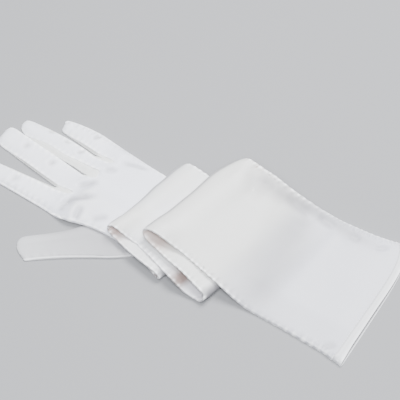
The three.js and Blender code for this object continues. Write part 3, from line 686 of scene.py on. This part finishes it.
def meshFrom(name, points, faces, uv, tones=None):
    mesh = bpy.data.meshes.new(name)
    mesh.from_pydata(((points + planShift) * mm).tolist(), [], faces.tolist())
    layer = mesh.uv_layers.new(name="clothUV")
    corner = np.zeros(len(mesh.loops), dtype=np.int32)
    mesh.loops.foreach_get("vertex_index", corner)
    layer.data.foreach_set("uv", (uv[corner] * mm).astype(np.float32).ravel())
    for label, values in (tones or {}).items():
        tone = mesh.attributes.new(label, "FLOAT", "POINT")
        tone.data.foreach_set("value", values.astype(np.float32))
    mesh.polygons.foreach_set("use_smooth", [True] * len(mesh.polygons))
    mesh.set_sharp_from_angle(angle=math.radians(55))
    return addObject(name, mesh)


def quadsOf(ids):
    return np.stack([ids[:-1, :-1], ids[1:, :-1], ids[1:, 1:], ids[:-1, 1:]], -1).reshape(-1, 4)


def gridQuads(rows, columns, start=0, wrap=False):
    ids = start + np.arange(rows * columns).reshape(rows, columns)
    if wrap:
        ids = np.hstack([ids, ids[:, :1]])
    return quadsOf(ids)


# Materials

# The satin's own bluish white; a warm tint that raised layers take, a painted light; dark warm colours
# painted as shade inside the turns; a neutral dark painted as shade in creases, along crests, in grooves and
# under edges; a near white for seams, partly doubled cloth and partly painted highlight
satinLook = {
    "backColor": (0.69, 0.70, 0.775), "paintedHeightTint": (0.61, 0.603, 0.58), "roughness": (0.36, 0.5),
    "doubled": (0.95, 0.95, 0.95), "foldShadeColor": (0.19, 0.135, 0.12), "palmFoldShadeColor": (0.32, 0.18, 0.14),
    "paintedShade": (0.236, 0.230, 0.241),
    "sheen": 0.06, "sheenRoughness": 0.35, "specular": 0.42, "threadSize": 0.00034, "threadBump": 0.00004,
}


# Sets sockets to a plain value or to another node's output
def fillSockets(tree, node, values):
    for socket, value in values.items():
        if isinstance(value, bpy.types.NodeSocket):
            tree.links.new(value, node.inputs[socket])
        else:
            node.inputs[socket].default_value = value
    return node


def addNode(tree, kind, values=None, **settings):
    node = tree.nodes.new(kind)
    for key, value in settings.items():
        setattr(node, key, value)
    return fillSockets(tree, node, values or {})


def newMaterial(name):
    material = bpy.data.materials.new(name)
    material.use_nodes = True
    tree = material.node_tree
    return material, tree, tree.nodes["Principled BSDF"]


# Two tones over a pattern
def toneRamp(tree, source, low, high):
    ramp = addNode(tree, "ShaderNodeValToRGB", {"Fac": source})
    ramp.color_ramp.elements[0].color = (*low, 1)
    ramp.color_ramp.elements[1].color = (*high, 1)
    return ramp.outputs["Color"]


# Satin weave: long floats over fine threads, with a slight slub; reads the cloth coordinates
def weaveGroup():
    tree = bpy.data.node_groups.new("satinWeave", "ShaderNodeTree")
    face = tree.interface
    face.new_socket("Cloth", in_out="INPUT", socket_type="NodeSocketVector")
    size = face.new_socket("Thread Size", in_out="INPUT", socket_type="NodeSocketFloat")
    size.default_value = satinLook["threadSize"]
    face.new_socket("Height", in_out="OUTPUT", socket_type="NodeSocketFloat")
    face.new_socket("Slub", in_out="OUTPUT", socket_type="NodeSocketFloat")
    enter = addNode(tree, "NodeGroupInput").outputs
    inverse = addNode(tree, "ShaderNodeMath", {0: 1.0, 1: enter["Thread Size"]}, operation="DIVIDE")
    scaled = addNode(tree, "ShaderNodeVectorMath", {0: enter["Cloth"], "Scale": inverse.outputs[0]},
                     operation="SCALE")
    floats = addNode(tree, "ShaderNodeTexWave", {"Vector": scaled.outputs[0], "Scale": 0.5, "Distortion": 1.2,
                                                 "Detail": 1.0}, wave_type="BANDS", bands_direction="X")
    stretch = addNode(tree, "ShaderNodeMapping", {"Vector": scaled.outputs[0], "Scale": (1.0, 0.16, 1.0)})
    slub = addNode(tree, "ShaderNodeTexNoise", {"Vector": stretch.outputs[0], "Scale": 0.6, "Detail": 2.0})
    both = addNode(tree, "ShaderNodeMath", {0: floats.outputs["Fac"], 1: 0.6, 2: slub.outputs["Fac"]},
                   operation="MULTIPLY_ADD")
    addNode(tree, "NodeGroupOutput", {"Height": both.outputs[0], "Slub": slub.outputs["Fac"]})
    return tree


def satinMaterial(name, weave, tint, shadeColorName="foldShadeColor"):
    look = satinLook
    material, tree, shader = newMaterial(name)
    clothUv = addNode(tree, "ShaderNodeUVMap", uv_map="clothUV")
    threads = addNode(tree, "ShaderNodeGroup", node_tree=weave)
    fillSockets(tree, threads, {"Cloth": clothUv.outputs["UV"], "Thread Size": look["threadSize"]})
    place = addNode(tree, "ShaderNodeTexCoord").outputs["Object"]
    clouds = addNode(tree, "ShaderNodeTexNoise", {"Vector": place, "Scale": 28.0, "Detail": 3.0})
    parts = addNode(tree, "ShaderNodeSeparateXYZ", {0: place})
    # The cloth is painted warmer and a little darker the higher it lies, a painted light; the noise adds
    # random warm blotches
    raised = addNode(tree, "ShaderNodeMapRange", {"Value": parts.outputs["Z"], "From Min": 0.005,
                                                  "From Max": 0.02})
    randomAndHeightTint = addNode(tree, "ShaderNodeMath", {0: clouds.outputs["Fac"], 1: 0.35, 2: raised.outputs["Result"]},
                     operation="MULTIPLY_ADD")
    blend = addNode(tree, "ShaderNodeMix", {"Factor": randomAndHeightTint.outputs[0], "A": (*tint, 1),
                                            "B": (*look["paintedHeightTint"], 1)}, data_type="RGBA")
    # Painted shade in the turns; painted shade in creases, along crests, in grooves and under edges; whiter
    # seams with painted highlights
    for label, amount, tone in (("foldTone", 0.75, shadeColorName), ("pressTone", 1.0, "paintedShade"),
                                ("seamTone", 1.0, "doubled")):
        read = addNode(tree, "ShaderNodeAttribute", attribute_name=label)
        share = addNode(tree, "ShaderNodeMath", {0: read.outputs["Fac"], 1: amount}, operation="MULTIPLY",
                        use_clamp=True)
        blend = addNode(tree, "ShaderNodeMix", {"Factor": share.outputs[0], "A": blend.outputs["Result"],
                                                "B": (*look[tone], 1)}, data_type="RGBA")
    low, high = look["roughness"]
    rough = addNode(tree, "ShaderNodeMapRange",
                    {"Value": threads.outputs["Slub"], "To Min": low, "To Max": high})
    bump = addNode(tree, "ShaderNodeBump", {"Height": threads.outputs["Height"], "Strength": 0.5,
                                            "Distance": look["threadBump"]})
    fillSockets(tree, shader, {"Base Color": blend.outputs["Result"], "Roughness": rough.outputs["Result"],
                               "Normal": bump.outputs["Normal"], "Specular IOR Level": look["specular"],
                               "Sheen Weight": look["sheen"], "Sheen Roughness": look["sheenRoughness"]})
    return material


def threadMaterial():
    material, tree, shader = newMaterial("threadWhite")
    place = addNode(tree, "ShaderNodeTexCoord").outputs["Object"]
    twist = addNode(tree, "ShaderNodeTexWave", {"Vector": place, "Scale": 1500.0}, bands_direction="DIAGONAL")
    color = toneRamp(tree, twist.outputs["Fac"], (0.74, 0.73, 0.73), (0.88, 0.88, 0.88))
    fillSockets(tree, shader, {"Base Color": color, "Roughness": 0.55})
    return material


def dress(piece, material, slot, *nodes):
    piece.data.materials.clear()
    piece.data.materials.append(material)
    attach(piece, "root")
    if nodes:
        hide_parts(*nodes)


weave = weaveGroup()
satinBack = satinMaterial("satinBack", weave, satinLook["backColor"])
# The palm's turns get a redder painted shade
satinPalm = satinMaterial("satinPalm", weave, (0.66, 0.66, 0.68), "palmFoldShadeColor")
# The thumb's satin is painted darker, standing for the shade it lies in under the hand
shadedSatinThumb = satinMaterial("shadedSatinThumb", weave, (0.45, 0.45, 0.465))
satinStrip = satinMaterial("satinStrip", weave, (0.66, 0.66, 0.64))
satinHem = satinMaterial("satinHem", weave, (0.60, 0.605, 0.625))
thread = threadMaterial()
print("materials made")

# Panels

backGrid, backTones, backBody = panelGrids("back")
backPanel = makeWall("backPanel", *backGrid, tones=backTones)
dress(backPanel, satinBack, "satin_back", "back_panel")
palmGrid, palmTones = panelGrids("palm")[:2]
palmPanel = makeWall("palmPanel", *palmGrid, flip=True, tones=palmTones)
dress(palmPanel, satinPalm, "satin_palm", "palm_panel")
print("panels made, sleeve length", round(backBody["length"]), "mm")


# Fourchettes: a strip beside each finger, and a rounded tongue on the back of the hand

stripForm = {"columns": 9, "rows": 61, "tuck": 1.2, "tuckDrop": 0.5, "grooveDrop": 0.12, "floor": 1.2,
             "wideFloor": 2.3, "wideFrom": 3.0, "endAt": 0.9, "belly": 0.45, "endDrop": 0.5, "below": 0.35,
             "ripple": 0.14, "inset": 0.35, "firstRow": 1.2}


def stripGrid(k, edge):
    finger = fingerTable[k]
    rows = np.linspace(0, stripForm["endAt"], stripForm["rows"])
    near, far, crotch, lengths = fingerEdges(k, rows, True)[:4]
    which = 0 if edge == "near" else 1
    line, other = (near, far) if edge == "near" else (far, near)
    inward = (other - line) / np.linalg.norm(other - line, axis=1)[:, None]
    show = showAlong(finger[edge + "Show"], rows, lengths[which], crotch[which])
    top = sewnEdge(rows) - stripForm["below"]
    s = rows * lengths[which]
    drop = ease(s - crotch[which], -1.0, 3.2)
    floorAt = stripForm["wideFloor"] if finger[edge + "Show"] > stripForm["wideFrom"] else stripForm["floor"]
    low = mix(top - stripForm["grooveDrop"], np.minimum(top - 0.6, floorAt), drop)
    v = np.linspace(0, 1, stripForm["columns"])
    lapped = fingerForm["tongueLap"] * (1 - drop)
    reach = mix(-lapped[:, None], (show + stripForm["tuck"])[:, None], (1 - v)[None, :])
    arch, drop = np.sin(math.pi * v), drop[:, None]
    height = mix(top[:, None] - stripForm["tuckDrop"] * (1 - np.clip(v * 4, 0, 1)), low[:, None],
                 ease(v, 0.2, 1.0)[None, :] ** 1.3)
    height = height + stripForm["belly"] * arch * drop * np.clip(show, 0, 2)[:, None] / 2
    height = height + stripForm["ripple"] * gathers(s * 0.8, k + which)[:, None] * arch
    height = height - stripForm["endDrop"] * (1 - ease(s, 0.2, 2.2))[:, None]
    plan = line[:, None, :] + inward[:, None, :] * reach[..., None]
    plan[0] += stripForm["firstRow"] * (line[0] - line[2]) / np.linalg.norm(line[0] - line[2])
    outer = np.dstack([plan, height])
    inner = outer.copy()
    inner[..., 2] -= cloth["wall"]
    inner[..., :2] += inward[:, None, :] * (stripForm["inset"] * drop)[..., None]
    return outer, inner, np.dstack([reach, np.broadcast_to(s[:, None], height.shape)])


def gridArea(points):
    down, over = np.diff(points, axis=0)[:, :-1], np.diff(points, axis=1)[:-1]
    return float(np.linalg.norm(np.cross(down, over), axis=2).sum())


fourchettes = []
for gapIndex in range(3):
    parts = [stripGrid(gapIndex, "far"), stripGrid(gapIndex + 1, "near")]
    outer, inner, uv = (np.concatenate([grid.reshape(-1, grid.shape[2]) for grid in grids])
                        for grids in zip(*parts))
    r, c = parts[0][0].shape[:2]
    quads = np.concatenate([gridQuads(r, c), gridQuads(r, c, r * c)[:, ::-1]])
    first, second = fingerTable[gapIndex]["name"], fingerTable[gapIndex + 1]["name"]
    nodeName = f"fourchette_{first}_{second}"
    pieceName = "fourchette" + first.title() + second.title()
    strip = makeWall(pieceName, outer, inner, quads, uv)
    dress(strip, satinStrip, "satin_fourchette", nodeName)
    lengths = [float(np.ptp(part[2][:, 0, 1])) for part in parts]
    width = max(float(np.linalg.norm(np.diff(part[0], axis=1), axis=2).sum(1).max()) for part in parts)
    area = sum(gridArea(part[0]) for part in parts)
    fourchettes.append((strip, max(width, 10.0) * mm, sum(lengths) * mm, area * mm * mm))
print("fourchettes made")


# Thumb: a soft flat pouch, open under the palm, with a sewn ridge along its lower edge

thumbTable = [
    dict(at=0.0, far=(-62.5, -57.0), near=(-17.0, -59.0), crest=2.9),
    dict(at=0.12, far=(-66.5, -67.0), near=(-14.5, -72.0), crest=3.1),
    dict(at=0.26, far=(-71.5, -78.2), near=(-26.0, -84.2), crest=3.5),
    dict(at=0.45, far=(-79.5, -88.2), near=(-46.0, -97.3), crest=3.7),
    dict(at=0.66, far=(-88.5, -97.2), near=(-65.0, -110.2), crest=3.7),
    dict(at=0.86, far=(-98.5, -106.0), near=(-81.5, -122.6), crest=3.4),
    dict(at=1.0, far=(-104.6, -111.6), near=(-91.0, -130.2), crest=2.3),
]
thumbForm = {"rows": 70, "columns": 34, "tipBow": (-6.8, -4.1), "seamTop": 1.1, "ridgeAt": 1.9,
             "crown": 6.0, "rootShade": 0.85, "rowPower": 0.92, "sideThin": 0.5, "ridge": 0.3, "groove": 0.34,
             "gather": 0.2, "swell": 0.14, "pull": 0.5, "inset": 0.02}


def makeThumb():
    form = thumbForm
    at = np.linspace(0, 1, form["rows"]) ** form["rowPower"]
    knots = np.array([row["at"] for row in thumbTable])
    near = curveThrough([row["near"] for row in thumbTable], knots, at)
    far = curveThrough([row["far"] for row in thumbTable], knots, at)
    crest = np.interp(at, knots, [row["crest"] for row in thumbTable])
    shares = warpedShares(form["columns"], form["sideThin"])
    plan = between(near, far, shares[None, :])
    endShare = ease(at, 0.72, 1.0)[:, None] ** 1.5
    flatMiddle = (4 * shares * (1 - shares)) ** 0.62 * (0.55 + 0.75 * shares)
    plan[..., 0] += form["tipBow"][0] * endShare * flatMiddle
    plan[..., 1] += form["tipBow"][1] * endShare * flatMiddle
    width = np.linalg.norm(far - near, axis=1)[:, None]
    nearDistance, farDistance = width * shares, width * (1 - shares)
    edgeDistance = np.minimum(nearDistance, farDistance)
    s = runningSum(stepLengths((near + far) / 2))[:, None]
    rise = rounded(edgeDistance, form["crown"]) * rounded(s[-1] - s, form["crown"])
    z = mix(form["seamTop"], crest[:, None], rise)
    z = z + form["ridge"] * bell(nearDistance - 0.7, 0.6)
    z = z - form["groove"] * bell(nearDistance - form["ridgeAt"], 0.55)
    z = z + form["gather"] * gathers(s, 0.9) * bell(nearDistance - 3.0, 2.0)
    pull = bell(shares - 0.62 - 0.1 * np.sin(s / 30), 0.09) * ease(at, 0.1, 0.5)[:, None]
    z = z + form["swell"] * np.sin(s / 9.0 + shares * 4) * rise - form["pull"] * pull
    outer = np.dstack([plan, z])
    bottom = np.dstack([plan, np.zeros_like(z)])
    wall = cloth["wall"]
    inset = np.clip(shares, form["inset"], 1 - form["inset"]) - shares
    insetPlan = plan + (far - near)[:, None, :] * inset[None, :, None]
    topInner = np.dstack([insetPlan, np.maximum(z - wall, wall + 0.05)])
    bottomInner = np.dstack([insetPlan, np.full_like(z, wall)])
    loopOuter = np.concatenate([outer, bottom[:, ::-1]], axis=1)
    loopInner = np.concatenate([topInner, bottomInner[:, ::-1]], axis=1)
    r, c = loopOuter.shape[:2]
    quads = gridQuads(r, c, wrap=True)
    half = form["columns"]
    last = (r - 1) * c
    cap = last + np.array([[i, i + 1, 2 * half - 2 - i, 2 * half - 1 - i] for i in range(half - 1)])
    uv = np.dstack([np.concatenate([nearDistance, nearDistance[:, ::-1]], 1), np.broadcast_to(s, (r, c))])
    # Painted shadow from the hand over the thumb's root; the ridge along its lower edge is painted whiter,
    # partly doubled cloth and partly painted highlight
    shadePaint = np.broadcast_to(form["rootShade"] * (1 - at[:, None]) ** 0.8, (r, c)).ravel()
    ridge = np.concatenate([bell(nearDistance - 0.6, 0.8) * 0.6, np.zeros_like(z)], 1)
    return makeWall("thumbPouch", loopOuter.reshape(-1, 3), loopInner.reshape(-1, 3),
                    np.concatenate([quads, cap[:, ::-1]]), uv.reshape(-1, 2), flip=True,
                    tones={"pressTone": shadePaint, "seamTone": ridge.ravel()})


thumbPouch = makeThumb()
dress(thumbPouch, shadedSatinThumb, "satin_thumb", "thumb")
print("thumb made")


# Hem: the sleeve's mouth turned in and stitched, one flattened band

def makeHem():
    t = np.linspace(0, 1, hem["rows"])
    along = mouthAlong - hem["width"] * (1 - t)
    near, far, thick = ribArrays(layerTable[-1], along, len(layerTable) - 1)[:3]
    width = np.linalg.norm(far - near, axis=1)[:, None]
    shares = warpedShares(fingerForm["columns"] * len(fingerTable), cloth["sideThin"])[None, :]
    middle = between(near, far, shares)
    middle[..., 0] += mouthBow(along, shares)
    distance = np.minimum(shares, 1 - shares) * width
    fullness = rounded(distance, cloth["cuffCrown"], cloth["crownPower"])
    half = halfHeight(thick, fullness)
    top = middle[..., 2] - thick[:, None] / 2 + 2 * half
    t = t[:, None]
    edge, fromSeam = ease(t, 0.8, 1.0), t * hem["width"]
    s = backBody["length"] + fromSeam
    ripple = hem["ripple"] * np.sin(shares * 31 + 1.2) * np.sin(shares * 9) * (0.3 + 0.7 * t) * fullness
    groove = -hem["groove"] * bell(fromSeam, 0.9) * fullness
    full = hem["roll"] * np.sin(math.pi * np.clip(t * 1.15, 0, 1)) * fullness
    z = top + ripple + groove + full + bothSeams(seamRelief, shares, width, s)
    wall = hem["wall"] * (1 - hem["edgeThin"] * edge)
    plan = middle[..., :2]
    z = z - hem["edgeDrop"] * edge
    outerTop = np.dstack([plan, z])
    innerTop = np.dstack([plan, np.maximum(z - wall, hem["topLeast"])])
    back = hem["setBack"] * ease(shares, 0.0, 0.16) * (1 - ease(shares, 0.4, 0.85))
    wayOut = foldPoint(1.0, 0.0, 0)
    outerTop -= (back * edge)[..., None] * wayOut
    innerTop -= (back * edge)[..., None] * wayOut
    lowLift = hem["lowLift"] * edge * fullness
    outerLow = np.dstack([plan, lowLift * 0.5])
    innerLow = np.dstack([plan, hem["lowWall"] + lowLift])
    outerLow += (hem["lip"] * edge * fullness)[..., None] * wayOut
    innerLow += (hem["lip"] * edge * fullness)[..., None] * wayOut
    sideIn = hem["sideIn"] / width
    held = np.clip(shares, sideIn, 1 - sideIn)
    shift = (held - shares)[..., None] * (far - near)[:, None, :]
    innerTop += shift
    innerLow += shift
    loopOuter = np.concatenate([outerTop, outerLow[:, ::-1]], axis=1)
    loopInner = np.concatenate([innerTop, innerLow[:, ::-1]], axis=1)
    r, c = loopOuter.shape[:2]
    # Painted shade in the hem's grooves and inside its mouth, and a painted highlight along its turned edge
    lines = (0.42 * bell(fromSeam - 0.6, 0.9) + 0.2 * bell(fromSeam - 4.2, 1.3)) * fullness
    grooveShade = np.concatenate([lines, np.zeros_like(lines)], 1).ravel()
    mouthShade = np.broadcast_to(1 - ease(t, 0.86, 1.0), (r, c)).ravel()
    edgeHighlight = np.concatenate([bell(fromSeam - hem["width"], 2.2) * np.ones_like(lines)] * 2, 1).ravel()
    acrossUv = np.concatenate([shares * width, (1 - shares) * width], 1)
    uv = np.dstack([acrossUv, np.broadcast_to(s, (r, c))])
    tones = {"pressTone": (grooveShade, mouthShade), "seamTone": (0.6 * edgeHighlight, 0 * edgeHighlight)}
    band = makeWall("cuffHem", loopOuter.reshape(-1, 3), loopInner.reshape(-1, 3),
                    gridQuads(r, c, wrap=True), uv.reshape(-1, 2), tones=tones)
    return band, outerTop


cuffHem, hemTop = makeHem()
dress(cuffHem, satinHem, "satin_hem", "cuff_hem")
print("hem made")


# Stitches by Geometry Nodes: short threads laid along a sewn line

stitchForm = {"pitch": 2.6, "length": 1.9, "radius": 0.17, "tilt": 0.08, "seed": 7}


def stitchTree():
    tree = bpy.data.node_groups.new("stitchRun", "GeometryNodeTree")
    face = tree.interface
    face.new_socket("Geometry", in_out="INPUT", socket_type="NodeSocketGeometry")
    for label, value in (("Pitch", stitchForm["pitch"] * mm), ("Stitch Length", stitchForm["length"] * mm),
                         ("Thread Radius", stitchForm["radius"] * mm)):
        face.new_socket(label, in_out="INPUT", socket_type="NodeSocketFloat").default_value = value
    face.new_socket("Thread", in_out="INPUT", socket_type="NodeSocketMaterial")
    face.new_socket("Geometry", in_out="OUTPUT", socket_type="NodeSocketGeometry")
    enter = addNode(tree, "NodeGroupInput").outputs
    toCurve = addNode(tree, "GeometryNodeMeshToCurve", {"Mesh": enter["Geometry"]})
    spaced = addNode(tree, "GeometryNodeResampleCurve", mode="LENGTH")
    fillSockets(tree, spaced, {"Curve": toCurve.outputs["Curve"], "Length": enter["Pitch"]})
    points = addNode(tree, "GeometryNodeCurveToPoints", {"Curve": spaced.outputs["Curve"]}, mode="EVALUATED")
    bead = addNode(tree, "GeometryNodeMeshUVSphere",
                   {"Segments": 6, "Rings": 5, "Radius": enter["Thread Radius"]})
    ratio = addNode(tree, "ShaderNodeMath", {0: enter["Stitch Length"], 1: enter["Thread Radius"]},
                    operation="DIVIDE")
    halved = addNode(tree, "ShaderNodeMath", {0: ratio.outputs[0], 1: 0.5}, operation="MULTIPLY")
    stretch = addNode(tree, "ShaderNodeCombineXYZ", {"X": 1.0, "Y": 1.0, "Z": halved.outputs[0]})
    tilt = stitchForm["tilt"]
    jitter = addNode(tree, "FunctionNodeRandomValue", {"Min": (-tilt,) * 3, "Max": (tilt,) * 3,
                                                       "Seed": stitchForm["seed"]}, data_type="FLOAT_VECTOR")
    turn = addNode(tree, "FunctionNodeRotateRotation", {"Rotation": points.outputs["Rotation"],
                                                        "Rotate By": jitter.outputs["Value"]})
    laid = addNode(tree, "GeometryNodeInstanceOnPoints", {
        "Points": points.outputs["Points"], "Instance": bead.outputs["Mesh"],
        "Rotation": turn.outputs["Rotation"], "Scale": stretch.outputs["Vector"]})
    real = addNode(tree, "GeometryNodeRealizeInstances", {"Geometry": laid.outputs["Instances"]})
    coloured = addNode(tree, "GeometryNodeSetMaterial", {"Geometry": real.outputs["Geometry"],
                                                         "Material": enter["Thread"]})
    addNode(tree, "NodeGroupOutput", {"Geometry": coloured.outputs["Geometry"]})
    return tree


stitches = stitchTree()


# Stitches along a line, made real
def sewLine(name, line):
    base = bpy.data.meshes.new(name + "Line")
    edges = [(i, i + 1) for i in range(len(line) - 1)]
    base.from_pydata(((line + planShift) * mm).tolist(), edges, [])
    guide = addObject(name + "Guide", base)
    modifier = guide.modifiers.new("stitchRun", "NODES")
    modifier.node_group = stitches
    for item in stitches.interface.items_tree:
        if item.item_type == "SOCKET" and item.in_out == "INPUT" and item.name == "Thread":
            modifier[item.identifier] = thread
    graph = bpy.context.evaluated_depsgraph_get()
    mesh = bpy.data.meshes.new_from_object(guide.evaluated_get(graph))
    bpy.data.objects.remove(guide)
    mesh.name = name
    mesh.polygons.foreach_set("use_smooth", [True] * len(mesh.polygons))
    return addObject(name, mesh)


hemLine = hemTop[0, 3:-3] + np.array([0, 0, 0.1])
hemStitches = sewLine("hemStitches", hemLine)
dress(hemStitches, thread, "satin_hem")
print("stitches made")


# The fourchettes' widths, lengths and areas, printed

for strip, width, length, area in fourchettes:
    print("strip", round(width, 4), round(length, 4), round(area, 6))

# Stage, lights and camera

stageLook = {"floor": (0.235, 0.235, 0.241), "size": 4.0, "world": (0.75, 0.82, 0.95), "worldPower": 0.3}
view = {"elevation": 62.0, "azimuth": 33.3, "distance": 1.3, "halfWidth": 0.13308, "sensor": 36.0}


def makeFloor():
    half = stageLook["size"] / 2
    mesh = bpy.data.meshes.new("floor")
    corners = [(-half, -half, 0), (half, -half, 0), (half, half, 0), (-half, half, 0)]
    mesh.from_pydata(corners, [], [(0, 1, 2, 3)])
    floor = addObject("floor", mesh)
    material, tree, shader = newMaterial("floorPale")
    place = addNode(tree, "ShaderNodeTexCoord").outputs["Object"]
    grain = addNode(tree, "ShaderNodeTexNoise", {"Vector": place, "Scale": 9.0})
    low, high = [c * 0.98 for c in stageLook["floor"]], stageLook["floor"]
    fillSockets(tree, shader,
                {"Base Color": toneRamp(tree, grain.outputs["Fac"], low, high), "Roughness": 0.9})
    floor.data.materials.append(material)


def areaLight(name, place, aim, size, power, color):
    data = bpy.data.lights.new(name, "AREA")
    data.shape, data.size, data.energy, data.color = "DISK", size, power, color
    light = addObject(name, data)
    light.location = place
    light.rotation_euler = (Vector(aim) - Vector(place)).to_track_quat("-Z", "Y").to_euler()


def makeCamera():
    target = Vector((planShift[0] * mm, planShift[1] * mm, 0))
    a, e = math.radians(view["azimuth"]), math.radians(view["elevation"])
    back = Vector((math.sin(a) * math.cos(e), -math.cos(a) * math.cos(e), math.sin(e)))
    data = bpy.data.cameras.new("camera")
    data.sensor_width = view["sensor"]
    data.lens = view["sensor"] / 2 / view["halfWidth"]
    data.clip_start = 0.01
    camera = addObject("camera", data)
    camera.location = target + back * view["distance"]
    camera.rotation_euler = (-back).to_track_quat("-Z", "Y").to_euler()
    bpy.context.scene.camera = camera


makeFloor()
makeCamera()
areaLight("keyLight", (0.05, 0.78, 1.4), (0, 0.0, 0), 0.85, 68.0, (0.97, 0.985, 1.0))
areaLight("fillLight", (0.25, -0.5, 1.6), (0, 0, 0), 1.0, 64.0, (0.95, 0.97, 1.0))
world = bpy.data.worlds.new("studio")
world.use_nodes = True
world.node_tree.nodes["Background"].inputs["Color"].default_value = (*stageLook["world"], 1)
world.node_tree.nodes["Background"].inputs["Strength"].default_value = stageLook["worldPower"]
bpy.context.scene.world = world
print("stage made")
